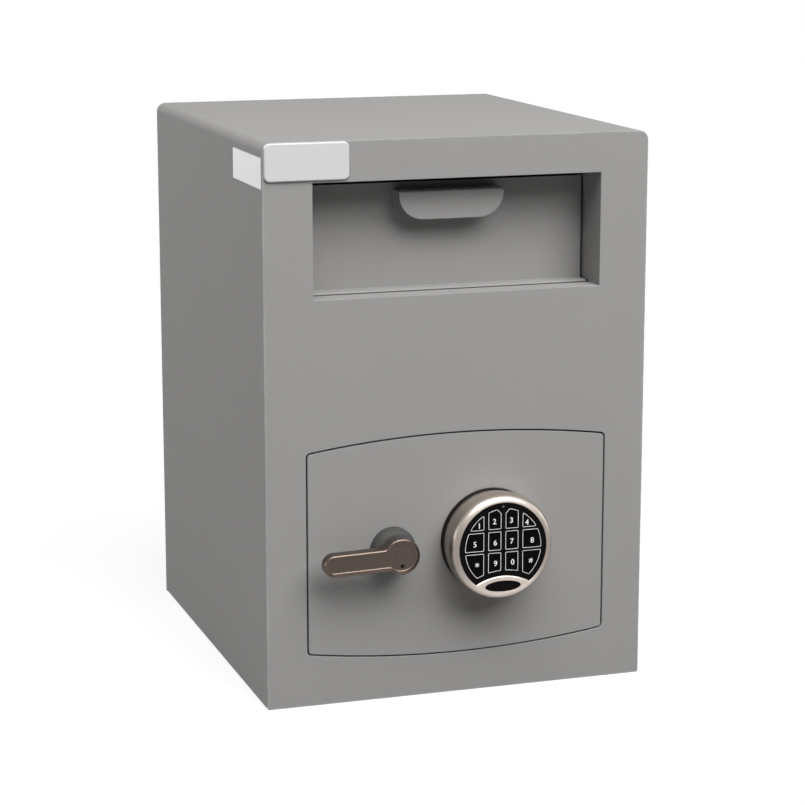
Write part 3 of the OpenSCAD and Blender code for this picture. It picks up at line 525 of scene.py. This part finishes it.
def lever_material(name):
    """Satin nickel that is smooth on the rim, and cast and darker in the field."""
    look = settings("lever")
    material, tree, shader, place = start_material(name)
    cast = group(tree, "Cast", {"Vector": place, "Grain": 1.1 * MM})
    depth = add_node(tree, "ShaderNodeSeparateXYZ", {0: place}).outputs["Y"]
    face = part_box("lever_handle")[0].y
    in_field = spread(tree, depth, face + 0.45 * look.field, face + 0.8 * look.field)
    hollow = maths(tree, "MULTIPLY", cast["Hollows"], spread(tree, in_field, 0.0, 1.0, 0.1, 0.8))
    base = blend_colours(tree, in_field, look.metal, shade(look.metal, 0.85))
    relief = maths(tree, "MULTIPLY", cast["Height"], spread(tree, in_field, 0.0, 1.0, 0.04, 1.0))
    feed(tree, shader, {
        "Base Color": blend_colours(tree, hollow, base, shade(look.metal, 0.6)), "Metallic": 0.8,
        "Roughness": spread(tree, hollow, 0.0, 0.8, 0.22, 0.5), "Coat Weight": 0.35, "Coat Roughness": 0.2,
        "Normal": bump(tree, relief, 0.08 * MM)})
    return material


def bezel_material(name):
    """Nickel that is brushed round the keypad's axis, with painted shade that darkens it at its left, its
    right and low down.
    """
    material, tree, shader, place = start_material(name)
    local = add_node(tree, "ShaderNodeMapping", {"Vector": place, "Location": (-PAD.x, 0, -PAD.z)}).outputs[0]
    axes = add_node(tree, "ShaderNodeSeparateXYZ", {0: local}).outputs
    squares = [maths(tree, "MULTIPLY", axes[axis], axes[axis]) for axis in "XZ"]
    radius = maths(tree, "SQRT", maths(tree, "ADD", *squares))
    turn = maths(tree, "MULTIPLY", maths(tree, "ARCTAN2", axes["X"], axes["Z"]), 1.5 * MM)
    ring = add_node(tree, "ShaderNodeCombineXYZ", {"X": radius, "Y": axes["Y"], "Z": turn}).outputs[0]
    streak = group(tree, "Streaks", {"Vector": ring, "Fineness": 2600.0})
    nickel = settings("keypad").nickel
    brushed = blend_colours(tree, streak["Tone"], shade(nickel, 0.85), shade(nickel, 1.1))
    # Painted shade: the flank low down and the left and right of the ring are darkened in place of the dark
    # reflections they would show.
    side = spread(tree, radius, 42 * MM, 45.5 * MM)
    low = spread(tree, axes["Z"], 35 * MM, -20 * MM, 0.0, 0.5)
    across = spread(tree, maths(tree, "ABSOLUTE", axes["X"]), 24 * MM, 41 * MM, 0.0, 0.55)
    painted_shade = maths(tree, "MAXIMUM", maths(tree, "MULTIPLY", side, low), across)
    feed(tree, shader, {
        "Base Color": blend_colours(tree, painted_shade, brushed, shade(nickel, 0.2)), "Metallic": 0.9,
        "Roughness": spread(tree, streak["Tone"], 0.0, 1.0, 0.38, 0.28),
        "Normal": bump(tree, streak["Height"], 0.01 * MM)})
    return material


def ink_material(name):
    """White ink with faint thin places."""
    material, tree, shader, place = start_material(name)
    ink = settings("keypad").ink
    thin = spread(tree, noise(tree, place, 2500.0), 0.3, 0.6)
    feed(tree, shader, {
        "Base Color": blend_colours(tree, thin, shade(ink, 0.8), ink),
        "Roughness": spread(tree, thin, 0.0, 1.0, 0.55, 0.4)})
    return material


def build_finishes():
    """Builds one material for each material slot of the record, and the ink."""
    for build in (build_coat_group, build_rim_group, build_streak_group, build_cast_group):
        build()
    metalwork = settings("metalwork")
    grey, grain = tuple(metalwork.paint), metalwork.grain
    tables = {
        paint_material: {
            "cabinet_paint": dict(paint=grey, grain=grain),
            "liner_steel": dict(paint=shade(grey, 0.86), grain=1.2 * MM, wear_and_highlight=False, rough=(0.32, 0.4)),
        },
        brushed_material: {
            "zinc_steel": dict(metal=(0.52, 0.53, 0.55), stretch=(1, 1, 0.06), rough=(0.25, 0.42)),
            "bolt_steel": dict(metal=(0.68, 0.68, 0.70), stretch=(1, 0.05, 0.05), rough=(0.1, 0.2), dark=0.9),
            # Near black and darker than the steel is, so that the hinge pins in the door's gap show as the
            # gap's shade: painted shade.
            "dark_steel": dict(metal=(0.015, 0.015, 0.016), stretch=(1, 0.1, 1), rough=(0.3, 0.45)),
            "brass": dict(metal=(0.62, 0.43, 0.16), stretch=(1, 0.08, 1), rough=(0.2, 0.35)),
        },
        cast_material: {
            "lock_zinc": dict(metal=(0.50, 0.50, 0.48), grain=1.5 * MM, dark=0.8),
            "rose_black": dict(metal=(0.062, 0.060, 0.057), grain=0.9 * MM, dark=0.6, rough=(0.7, 0.85),
                               depth=0.1 * MM, metallic=0.0),
        },
        moulded_material: {
            "nylon": dict(plastic=(0.02,) * 3, grain=0.8 * MM, tint=0.92),
            "buffer_rubber": dict(plastic=(0.018,) * 3, grain=0.5 * MM, rough=(0.6, 0.8)),
            "base_black": dict(plastic=(0.010, 0.009, 0.008), grain=0.4 * MM, rough=(0.3, 0.42), gloss=0.12),
            "face_black": dict(plastic=(0.005, 0.004, 0.004), grain=0.35 * MM, rough=(0.2, 0.3),
                               depth=0.012 * MM, gloss=0.04),
            "key_black": dict(plastic=(0.0022, 0.0022, 0.0025), grain=0.3 * MM, rough=(0.3, 0.45),
                              depth=0.012 * MM, gloss=0.03),
            "board_green": dict(plastic=(0.03, 0.12, 0.05), grain=0.9 * MM),
            "led_clear": dict(plastic=(0.14,) * 3, grain=0.3 * MM, rough=(0.1, 0.2), tint=0.9, gloss=0.2),
            "battery_case": dict(plastic=(0.035, 0.035, 0.04), grain=0.6 * MM, rough=(0.2, 0.3)),
            "badge_white": dict(plastic=(0.66, 0.66, 0.665), grain=4 * MM, rough=(0.3, 0.4),
                                depth=0.006 * MM, coat=0.2, tint=0.97, gloss=0.3),
            "label_white": dict(plastic=(0.76, 0.75, 0.76), grain=1.5 * MM, rough=(0.4, 0.5),
                                depth=0.01 * MM, tint=0.96, gloss=0.2),
        },
        lever_material: {"lever_metal": {}},
        bezel_material: {"bezel_nickel": {}},
        ink_material: {"ink": {}},
    }
    return {name: build(name, **look) for build, table in tables.items() for name, look in table.items()}


FINISHES = {}


def finish(slot):
    if not FINISHES:
        FINISHES.update(build_finishes())
    return FINISHES[slot]


# Operators

class SAFE_OT_front(bpy.types.Operator):
    """Model the front plate with softened edges round its face, hopper opening and door opening"""
    bl_idname = "safe.front"
    bl_label = "Front plate"

    def execute(self, context):
        look = settings("metalwork")
        piece = copy_of("front_plate", "front_panel")
        low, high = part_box("door_plate")
        reach = 3 * MM

        def at_foot(edge):
            a, b = (v.co for v in edge.verts)
            return all(v.z < MM and abs(v.x) > CABINET_W / 2 - MM for v in (a, b)) and abs(a.x - b.x) < MM

        def along_gap(edge):
            return all(low.x - reach < v.co.x < high.x + reach and v.co.z < high.z + reach
                       for v in edge.verts)

        soften(piece, look.foot, at_foot, segments=6)
        face = on_plane(1, FRONT)
        soften(piece, look.gap_edge, lambda e: face(e) and along_gap(e) and min(v.co.z for v in e.verts) > MM)
        soften(piece, look.edge, lambda e: face(e) and not along_gap(e))
        finish_piece(piece, ["front_plate"])
        return {"FINISHED"}


class SAFE_OT_shell(bpy.types.Operator):
    """Model the wrap and the back plate with softened back and bottom edges"""
    bl_idname = "safe.shell"
    bl_label = "Shell"

    def execute(self, context):
        look = settings("metalwork")
        piece = copy_of("body_wrap", "shell_wrap")
        side = CABINET_W / 2 - 0.1 * MM
        soften(piece, 0.8 * look.foot,
               lambda e: all(v.co.z < MM and abs(v.co.x) > side for v in e.verts), segments=5)
        finish_piece(piece, ["body_wrap"])
        dress_copy("back_plate", "rear_panel", look.edge, on_plane(1, BACK))
        return {"FINISHED"}


class SAFE_OT_door(bpy.types.Operator):
    """Model the bow-edged door plate with softened edges"""
    bl_idname = "safe.door"
    bl_label = "Door"

    def execute(self, context):
        dress_copy("door_plate", "door_panel", settings("metalwork").gap_edge, on_plane(1, FRONT))
        return {"FINISHED"}


class SAFE_OT_hopper(bpy.types.Operator):
    """Model the hopper's panel with its rolled barrel, its tray and its cheeks"""
    bl_idname = "safe.hopper"
    bl_label = "Hopper"

    def execute(self, context):
        edge = 0.45 * MM
        panel = copy_of("hopper_front", "hopper_panel")
        soften(panel, edge, segments=2)
        self.cut_seam(panel)
        finish_piece(panel, ["hopper_front"])
        for node, name in (("hopper_tray", "hopper_floor"), ("hopper_cheeks", "hopper_ends")):
            dress_copy(node, name, edge, segments=2)
        return {"FINISHED"}

    def cut_seam(self, panel):
        """Cuts the seam that the rolled sheet of the hinge barrel leaves."""
        rise, barrel_r, width, depth = math.radians(51), 8 * MM, 1.3 * MM, 1.9 * MM
        out = Vector((0, -math.cos(rise), math.sin(rise)))
        place = middle("hopper_hinge_rod") + barrel_r * out
        deselect()
        bpy.ops.mesh.primitive_cube_add(size=1, location=place, rotation=(-rise, 0, 0))
        bpy.context.object.scale = (CABINET_W, 2 * depth, width)
        cut(panel, new_piece("roll_seam"))


class SAFE_OT_pull(bpy.types.Operator):
    """Fold the hopper's pull out of sheet, and model its rivets"""
    bl_idname = "safe.pull"
    bl_label = "Pull"

    def execute(self, context):
        self.fold()
        self.rivets()
        return {"FINISHED"}

    def fold(self):
        """Draws the lip, pulls it up over its bend and down at the panel, and gives it its thickness."""
        look = settings("pull")
        low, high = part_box("hopper_handle")
        half_w, half_t = high.x, look.sheet / 2
        lip, panel = low.y + half_t, high.y - half_t
        bend, foot = look.bend - half_t, look.foot_bend - half_t
        shoulder = high.z - look.bend
        corner = arc((half_w - look.corner, low.z + look.corner), look.corner, -90, 0, 12)
        outline = [(half_w, shoulder), (-half_w, shoulder)] + [(-x, z) for x, z in reversed(corner)] + corner
        piece = draw_line("hopper_pull", [Vector((x, lip, z)) for x, z in outline], closed=True)
        profile = arc((lip + bend, shoulder), bend, 180, 90, 6)
        profile += arc((panel - foot, high.z - half_t - foot), foot, 90, 0, 6)
        profile.append((panel, high.z - look.flange))
        end_z, near = profile[-1][1], 0.01 * MM
        with editing(piece):
            pick(piece, "EDGE", on_plane(2, shoulder))
            for a, b in zip(profile, profile[1:]):
                pull((0, b[0] - a[0], b[1] - a[1]))
            pick(piece, "VERT", lambda v: abs(v.co.z - end_z) < near and abs(v.co.y - panel) < near)
            bpy.ops.mesh.bevel(offset=look.flange_corner, segments=6, affect="VERTICES")
            pick_all("FACE")
            bpy.ops.mesh.normals_make_consistent(inside=False)
        apply_modifier(piece, "SOLIDIFY", thickness=look.sheet, offset=0)
        soften(piece, 0.4 * MM, segments=3, sharp=50)
        finish_piece(piece, ["hopper_handle"])

    def rivets(self):
        low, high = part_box("handle_rivets")
        radius, top = (high.z - low.z) / 2, high.y - low.y
        profile = [*domed_head(radius, top, 0.25 * top), (radius, 0), (0, 0)]
        heads = [lathe("pull_rivet", profile, Vector((x, high.y, middle("handle_rivets").z)), 24)
                 for x in (radius - high.x, high.x - radius)]
        finish_piece(join(heads), ["handle_rivets"])


def lever_outline(look):
    """The lever in front view from its axis: the head, a fillet, the arm's round tip, and a fillet."""
    tip_r, head, fillet = look.arm / 2, look.head, look.fillet
    along = Vector((-math.cos(look.droop), -math.sin(look.droop)))
    root = Vector((0, -look.drop))
    tip = root + along * (look.reach - tip_r)
    up = Vector((along.y, -along.x))

    def fillet_centre(normal):
        start = root + (tip_r + fillet) * normal
        half = start.dot(along)
        return start + along * (-half + math.sqrt(half * half - start.length_squared + (head + fillet) ** 2))

    def angle(v):
        return math.degrees(math.atan2(v.y, v.x))

    over, under = fillet_centre(up), fillet_centre(-up)
    rise = angle(up)
    points = arc((0, 0), head, angle(under), angle(over), 56)
    start = angle(over) + 180
    points += arc(over, fillet, start, start + (angle(-up) - start) % -360, 5)
    points += arc(tip, tip_r, rise, rise + 180, 28)
    points += arc(under, fillet, rise, rise + (angle(-under) - rise) % -360, 5)
    return points


class SAFE_OT_lever(bpy.types.Operator):
    """Model the lever with its round shoulder, rim, cast field, neck and pin hole, and the rose behind it"""
    bl_idname = "safe.lever"
    bl_label = "Lever"

    def execute(self, context):
        look = settings("lever")
        low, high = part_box("lever_handle")
        face, back = low.y, low.y + 8 * MM
        grip = self.grip(look, face, back)
        self.sink_field(grip, look)
        pin, pin_r = middle("lever_screw"), 1.7 * MM
        cut(grip, drum("pin_hole", pin_r, (pin.x, face - MM, pin.z), (pin.x, face + 4 * MM, pin.z), 32))
        flare, deep = 3 * MM, high.y - back
        neck = lathe("lever_neck", [
            (0, 0), (look.neck, 0), (look.neck, deep - flare),
            *oval((look.neck + flare, deep - flare), -flare, flare, (30, 60, 90)), (0, deep)],
            Vector((HUB.x, high.y, HUB.z)), 48)
        finish_piece(join([grip, neck]), ["lever_handle"])
        self.rose()
        return {"FINISHED"}

    def grip(self, look, face, back):
        """The head and the arm as one plate, rounded over towards its face."""
        outline = [Vector((HUB.x + x, back, HUB.z + z)) for x, z in lever_outline(look)]
        piece = draw_line("lever_grip", outline, closed=True)
        step, last = 18, 0.0
        with editing(piece):
            pick_all("FACE")
            pull((0, face - back, 0))
            pick_all("FACE")
            bpy.ops.mesh.normals_make_consistent(inside=False)
            pick(piece, "FACE", faces_out)
            for turn in range(step, 91, step):
                a = math.radians(turn)
                inward = look.shoulder * (1 - math.cos(a))
                rise = look.shoulder * (math.sin(a) - math.sin(math.radians(turn - step)))
                bpy.ops.mesh.inset(thickness=max(inward - last, 0.001 * MM), depth=0, use_even_offset=True)
                bpy.ops.transform.translate(value=(0, -rise, 0))
                last = inward
            bpy.ops.transform.translate(value=(0, look.shoulder, 0))
        return piece

    def sink_field(self, piece, look):
        """Sinks the field inside the rim in three steps, so that its edges are soft."""
        least_area = 400 * MM * MM
        with editing(piece):
            pick(piece, "FACE", lambda f: faces_out(f) and f.calc_area() > least_area)
            bpy.ops.mesh.inset(thickness=look.rim, use_even_offset=True)
            for inward, share in ((0.35 * MM, 0.35), (0.25 * MM, 0.45), (0.4 * MM, 0.2)):
                bpy.ops.mesh.inset(thickness=inward, depth=-share * look.field, use_even_offset=True)

    def rose(self):
        """The domed ring behind the lever."""
        low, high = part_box("lever_rose")
        radius, rise = (high.x - low.x) / 2, high.y - low.y
        hole, flat, side, edge = 11.5 * MM, 1.5 * MM, 5 * MM, 0.4 * MM
        dome = oval((hole + flat, side), radius - hole - flat, rise - side, range(0, 91, 6))
        profile = [(hole, 0), (radius - edge, 0), (radius, edge), *dome, (hole + edge, rise),
                   (hole, rise - edge), (hole, 0)]
        finish_piece(lathe("lever_dome", profile, Vector((HUB.x, FRONT, HUB.z))), ["lever_rose"])


def bezel_side(inset):
    """The bezel's side from its base over its widest place and shoulder, as radius and distance out."""
    base_r, wide_r, lip_r = 44.4 * MM - inset, 47.6 * MM - inset, 40.9 * MM
    base_h, wide_h, top = 4 * MM, 25 * MM, 35 * MM - inset
    flare = [(base_r + (wide_r - base_r) * math.sin(math.radians(9 * i)),
              base_h + (wide_h - base_h) * i / 10) for i in range(11)]
    return flare + oval((lip_r, wide_h), wide_r - lip_r, top - wide_h, range(6, 91, 6))


class SAFE_OT_keypad(bpy.types.Operator):
    """Model the keypad's base, its brushed bezel with the window's surround, its black face and the window"""
    bl_idname = "safe.keypad"
    bl_label = "Keypad"

    centre = Vector((PAD.x, FRONT, PAD.z))
    face_r = 40.4 * MM

    def execute(self, context):
        self.base()
        finish_piece(join([self.ring(), self.surround()]), ["keypad_bezel"])
        self.face()
        window = middle("keypad_window")
        dress_copy("keypad_window", "pad_window", 0.3 * MM,
                   lambda e: all(v.co.y < window.y for v in e.verts), segments=2)
        return {"FINISHED"}

    def base(self):
        low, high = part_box("keypad_base")
        radius, thick = (high.x - low.x) / 2, high.y - low.y
        profile = [(0, 0), (radius - 0.3 * MM, 0), (radius, 0.3 * MM), (radius, thick - 1.2 * MM),
                   (radius - 0.35 * MM, thick - 0.35 * MM), (radius - 1.2 * MM, thick), (0, thick)]
        finish_piece(lathe("pad_base", profile, self.centre, 128), ["keypad_base"])

    def ring(self):
        """The bezel as a shell, open to the back under its lip."""
        face_r, front, wall, lip_under = self.face_r, 35 * MM, 2.4 * MM, 31 * MM
        inner = [p for p in reversed(bezel_side(wall)) if p[1] < lip_under]
        lip = [(face_r + 0.3 * MM, front - 0.15 * MM), (face_r, front - 0.5 * MM), (face_r, 31.2 * MM)]
        side = bezel_side(0)
        return lathe("pad_bezel", side + lip + inner + side[:1], self.centre, 160)

    def surround(self):
        """The window's surround: the part of a disc under a big circle, with a hole for the window."""
        centre, look = self.centre, settings("keypad")
        disc_r, disc_back, disc_front = 41.2 * MM, 30 * MM, 34.97 * MM
        lobe_r, lobe_top = 49.5 * MM, -25.3 * MM

        def out(point, distance):
            return point - Vector((0, distance, 0))

        def at_front(v):
            return abs(v.co.y - FRONT + disc_front) < TOUCH

        piece = drum("surround", disc_r, out(centre, disc_back), out(centre, disc_front), 160)
        below = centre + Vector((0, 0, lobe_top - lobe_r))
        cut(piece, drum("lobe", lobe_r, out(below, 29 * MM), out(below, 40 * MM), 220), "INTERSECT")
        # This edge isn't clamped, so it is rounded before the hole is there.
        soften(piece, look.lobe, lambda e: all(
            at_front(v) and (v.co - below).xz.length > lobe_r - 0.05 * MM
            and (v.co - centre).xz.length < disc_r + TOUCH for v in e.verts), segments=5, clamp=False)

        low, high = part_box("keypad_window")
        window, size = middle("keypad_window"), high - low
        play, reach = 0.2 * MM, 0.5 * MM
        # A drum 1 m across, which is then shrunk to the window's oval.
        hole = drum("window_hole", 0.5, out(window, -10 * MM), out(window, 10 * MM), 72)
        activate(hole)
        shape = Matrix.Diagonal((size.x + play, 1, size.z + play, 1))
        hole.data.transform(Matrix.Translation(window) @ shape @ Matrix.Translation(-window))
        cut(piece, hole)
        soften(piece, 0.5 * MM, lambda e: all(
            at_front(v) and abs(v.co.x - window.x) < size.x / 2 + reach
            and abs(v.co.z - window.z) < size.z / 2 + reach for v in e.verts))
        return piece

    def face(self):
        """The black face, with a ring round it that fills the gap to the bezel."""
        low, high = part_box("keypad_face")
        setback = 0.02 * MM
        near, far = FRONT - low.y - setback, FRONT - high.y
        inner, outer = self.face_r - 1.2 * MM, self.face_r + 0.1 * MM
        face = copy_of("keypad_face", "pad_face")
        profile = [(inner, far), (outer, far), (outer, near), (inner, near), (inner, far)]
        finish_piece(join([face, lathe("face_rim", profile, self.centre, 128)]), ["keypad_face"])


# Where each figure stands on the keypad from its middle, in mm.
FIGURES = {
    "key_1": ("1", -22.4, 21.4), "key_2": ("2", -8.3, 24.3), "key_3": ("3", 7.4, 24.4),
    "key_4": ("4", 21.9, 21.5), "key_5": ("5", -26.3, 5.0), "key_6": ("6", -7.5, 5.2),
    "key_7": ("7", 8.0, 5.4), "key_8": ("8", 26.9, 4.9), "key_star": ("*", -24.2, -13.6),
    "key_9": ("9", -7.1, -13.6), "key_0": ("0", 8.8, -13.5), "key_hash": ("#", 25.8, -13.6),
}
# Share of the font's size that a figure is high, and how much the two signs differ from that.
CAP_HEIGHT = 0.73
SIGN_SCALE = {"*": 1.25, "#": 0.82}


class SAFE_OT_keys(bpy.types.Operator):
    """Model the twelve keys with their printed outlines and figures"""
    bl_idname = "safe.keys"
    bl_label = "Keys"

    def execute(self, context):
        for key, (figure, x, z) in FIGURES.items():
            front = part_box(key)[0].y
            dress_copy(key, key + "_cap", 0.15 * MM, on_plane(1, front), segments=2)
            place = Vector((PAD.x + x * MM, front, PAD.z + z * MM))
            ink = join([self.outline(key), self.figure(figure, place)])
            ink.name = key + "_print"
            # The print is first given the finish of the key's slot, and then shows in ink.
            finish_piece(ink, body=BODY_OF[key], slot="key_black")
            ink.data.materials.clear()
            ink.data.materials.append(finish("ink"))
        return {"FINISHED"}

    def outline(self, key):
        """The printed line round a key's front face, made from that face."""
        look = settings("keypad")
        rim = copy_of(key, key + "_rim")
        with editing(rim):
            pick(rim, "FACE", lambda f: not faces_out(f))
            bpy.ops.mesh.delete(type="FACE")
            pick_all("FACE")
            bpy.ops.mesh.inset(thickness=look.margin)
            bpy.ops.mesh.select_all(action="INVERT")
            bpy.ops.mesh.delete(type="FACE")
            pick_all("FACE")
            bpy.ops.mesh.inset(thickness=look.line)
            bpy.ops.mesh.delete(type="FACE")
            pick_all("FACE")
            pull((0, -look.ink_t, 0))
            pick_all("FACE")
            bpy.ops.mesh.normals_make_consistent(inside=False)
        return rim

    def figure(self, text, place):
        """A figure as text turned to face out of the front, with its middle at a place."""
        look = settings("keypad")
        deselect()
        bpy.ops.object.text_add()
        words = bpy.context.object
        words.data.body = text
        words.data.size = look.figure / CAP_HEIGHT * SIGN_SCALE.get(text, 1)
        words.data.offset = 0.1 * MM
        words.data.extrude = look.ink_t / 2
        words.data.resolution_u = 6
        bpy.ops.object.convert(target="MESH")
        centre = sum((Vector(corner) for corner in words.bound_box), Vector()) / 8
        upright = Matrix.Rotation(math.pi / 2, 4, "X")
        place = place - Vector((0, look.ink_t / 2, 0))
        words.data.transform(Matrix.Translation(place) @ upright @ Matrix.Translation(-centre))
        return words


class SAFE_OT_badge(bpy.types.Operator):
    """Model the domed blank badge"""
    bl_idname = "safe.badge"
    bl_label = "Badge"

    def execute(self, context):
        low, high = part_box("badge")
        piece = block("badge_plate", low, high)
        soften(piece, 5 * MM, lambda e: abs(e.verts[0].co.y - e.verts[1].co.y) > MM, segments=8)
        soften(piece, 1.5 * MM, on_plane(1, low.y), segments=5)
        finish_piece(piece, ["badge"])
        return {"FINISHED"}


class SAFE_OT_boltwork(bpy.types.Operator):
    """Soften the boxwork behind the door and model its cross-head cover screws"""
    bl_idname = "safe.boltwork"
    bl_label = "Boltwork"

    def execute(self, context):
        dress_copy("bolt_cover", "door_cover", 0.6 * MM, on_plane(1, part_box("bolt_cover")[1].y))
        dress_copy("lock_case", "lock_body", 0.8 * MM, on_plane(1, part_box("lock_case")[1].y))
        self.screws()
        return {"FINISHED"}

    def screws(self):
        low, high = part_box("cover_screws")
        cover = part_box("bolt_cover")[1].y
        radius, shank, rise = 4.75 * MM, 2.5 * MM, high.y - cover
        flat = 0.35 * rise
        profile = [*domed_head(radius, rise, flat), (radius, 0), (shank, 0), (shank, low.y - cover),
                   (0, low.y - cover)]
        seats = [Vector((x, cover, z)) for x in (low.x + radius, high.x - radius)
                 for z in (low.z + radius, high.z - radius)]
        made = []
        for seat in seats:
            screw = lathe("cover_screw", [(r, -out) for r, out in profile], seat, 32)
            for turn in ((0.6, 2.6), (2.6, 0.6)):
                half = Vector((turn[0] * MM, 0, turn[1] * MM))
                bottom, top = Vector((0, flat, 0)), Vector((0, rise + MM, 0))
                cut(screw, block("slot", seat - half + bottom, seat + half + top))
            made.append(screw)
        finish_piece(join(made), ["cover_screws"])


class SAFE_OT_finishes(bpy.types.Operator):
    """Give every CAD node that still shows its finish"""
    bl_idname = "safe.finishes"
    bl_label = "Finishes"

    def execute(self, context):
        for node, slot in SLOT_OF.items():
            NODES[node].data.materials.clear()
            NODES[node].data.materials.append(finish(slot))
            if not NODES[node].hide_render:
                activate(NODES[node])
                bpy.ops.object.shade_smooth_by_angle(angle=math.radians(30))
        return {"FINISHED"}


# The side of each soft box in m, and its azimuth and elevation in degrees.
SOFT_BOXES = {
    "key": (3.0, -25, 45), "high": (3.0, 20, 60), "left": (2.4, 100, 6), "right": (2.0, -100, 8),
    "back": (2.0, 155, 8),
}


class SAFE_OT_studio(bpy.types.Operator):
    """Build the pale floor, the soft lights, the white surround and the camera"""
    bl_idname = "safe.studio"
    bl_label = "Studio"

    def execute(self, context):
        look = settings("studio")
        deselect()
        bpy.ops.mesh.primitive_plane_add(size=8)
        floor = new_piece("studio_floor")
        floor.data.materials.append(self.floor_material())
        self.world(look)
        for name, (size, azimuth, elevation) in SOFT_BOXES.items():
            self.soft_box(
                name + "_box", getattr(look, name), size, math.radians(azimuth), math.radians(elevation))
        self.camera(context)
        context.scene.view_settings.view_transform = "Standard"
        return {"FINISHED"}

    def seen(self, tree):
        """1 for rays from the camera, from gloss and through glass."""
        path = add_node(tree, "ShaderNodeLightPath").outputs
        direct = maths(tree, "MAXIMUM", path["Is Camera Ray"], path["Is Glossy Ray"])
        return maths(tree, "MAXIMUM", direct, path["Is Transmission Ray"])

    def floor_material(self):
        """White paper that keeps the shadow near the safe and fades to plain white away from it."""
        material, tree, shader, place = start_material("studio_paper")
        tone = spread(tree, noise(tree, place, 3.0), 0.3, 0.7)
        seen = self.seen(tree)
        feed(tree, shader, {
            "Base Color": blend_colours(tree, tone, (0.25,) * 3, (0.27,) * 3), "Roughness": 0.9,
            "Emission Color": blend_colours(tree, tone, (0.80,) * 3, (0.82,) * 3),
            "Emission Strength": seen, "Specular IOR Level": 0.0})
        away = add_node(tree, "ShaderNodeVectorMath", {0: place}, operation="LENGTH").outputs["Value"]
        far = maths(tree, "MULTIPLY", spread(tree, away, 0.3, 0.6), seen)
        plain = add_node(tree, "ShaderNodeEmission", {"Color": (1, 1, 1, 1), "Strength": 1.0}).outputs[0]
        mix = add_node(tree, "ShaderNodeMixShader", {0: far, 1: shader.outputs[0], 2: plain})
        tree.links.new(mix.outputs[0], tree.nodes["Material Output"].inputs["Surface"])
        return material

    def world(self, look):
        """A faint light from all round, which is seen as plain white."""
        world = bpy.data.worlds.new("Studio")
        world.use_nodes = True
        bpy.context.scene.world = world
        tree = world.node_tree
        soft = tree.nodes["Background"]
        feed(tree, soft, {"Color": (1.0, 0.99, 0.985, 1), "Strength": look.world})
        white = add_node(tree, "ShaderNodeBackground", {"Color": (1, 1, 1, 1), "Strength": 1.0}).outputs[0]
        mix = add_node(tree, "ShaderNodeMixShader", {0: self.seen(tree), 1: soft.outputs[0], 2: white})
        tree.links.new(mix.outputs[0], tree.nodes["World Output"].inputs["Surface"])

    def soft_box(self, name, power, size, azimuth, elevation):
        """A square lamp that faces the safe; its azimuth is 0 in front of the safe and grows to the left."""
        distance, level = 4.5, math.cos(elevation)
        away = distance * Vector(
            (-math.sin(azimuth) * level, -math.cos(azimuth) * level, math.sin(elevation)))
        place = Vector((0, 0, CABINET_H / 2)) + away
        turn = (-away).to_track_quat("-Z", "Y").to_euler()
        bpy.ops.object.light_add(type="AREA", location=place, rotation=turn)
        light = bpy.context.object
        light.name = name
        light.data.energy = power
        light.data.size = size

    def camera(self, context):
        """The photograph's view, fitted to the edges of the cabinet, the opening and the door."""
        turn = [math.radians(angle) for angle in (78.067, -0.009, -18.18)]
        bpy.ops.object.camera_add(location=(-0.711, -2.2058, 0.7133), rotation=turn)
        camera = bpy.context.object
        camera.data.sensor_width = 36
        camera.data.lens = 111.64
        context.scene.camera = camera


class SAFE_PT_panel(bpy.types.Panel):
    """The safe's pieces and settings"""
    bl_idname = "SAFE_PT_panel"
    bl_label = "Deposit safe"
    bl_space_type = "VIEW_3D"
    bl_region_type = "UI"
    bl_category = "Safe"

    def draw(self, context):
        for group_name in GROUPS:
            box = self.layout.box()
            box.label(text=group_name.capitalize())
            values = settings(group_name)
            for name in values.__annotations__:
                box.prop(values, name)
        for operator in OPERATORS:
            self.layout.operator(operator.bl_idname)


GROUPS = {
    "metalwork": SafeMetalwork, "pull": SafePull, "lever": SafeLever, "keypad": SafeKeypad,
    "studio": SafeStudio,
}
OPERATORS = (
    SAFE_OT_front, SAFE_OT_shell, SAFE_OT_door, SAFE_OT_hopper, SAFE_OT_pull, SAFE_OT_lever, SAFE_OT_keypad,
    SAFE_OT_keys, SAFE_OT_badge, SAFE_OT_boltwork, SAFE_OT_finishes, SAFE_OT_studio,
)


def register():
    for item in (*GROUPS.values(), *OPERATORS, SAFE_PT_panel):
        bpy.utils.register_class(item)
    for name, item in GROUPS.items():
        setattr(bpy.types.Scene, "safe_" + name, PointerProperty(type=item))


def unregister():
    for name in GROUPS:
        delattr(bpy.types.Scene, "safe_" + name)
    for item in reversed((*GROUPS.values(), *OPERATORS, SAFE_PT_panel)):
        bpy.utils.unregister_class(item)


def main():
    register()
    for operator in OPERATORS:
        getattr(bpy.ops.safe, operator.bl_idname.split(".")[1])()


if __name__ == "__main__":
    main()
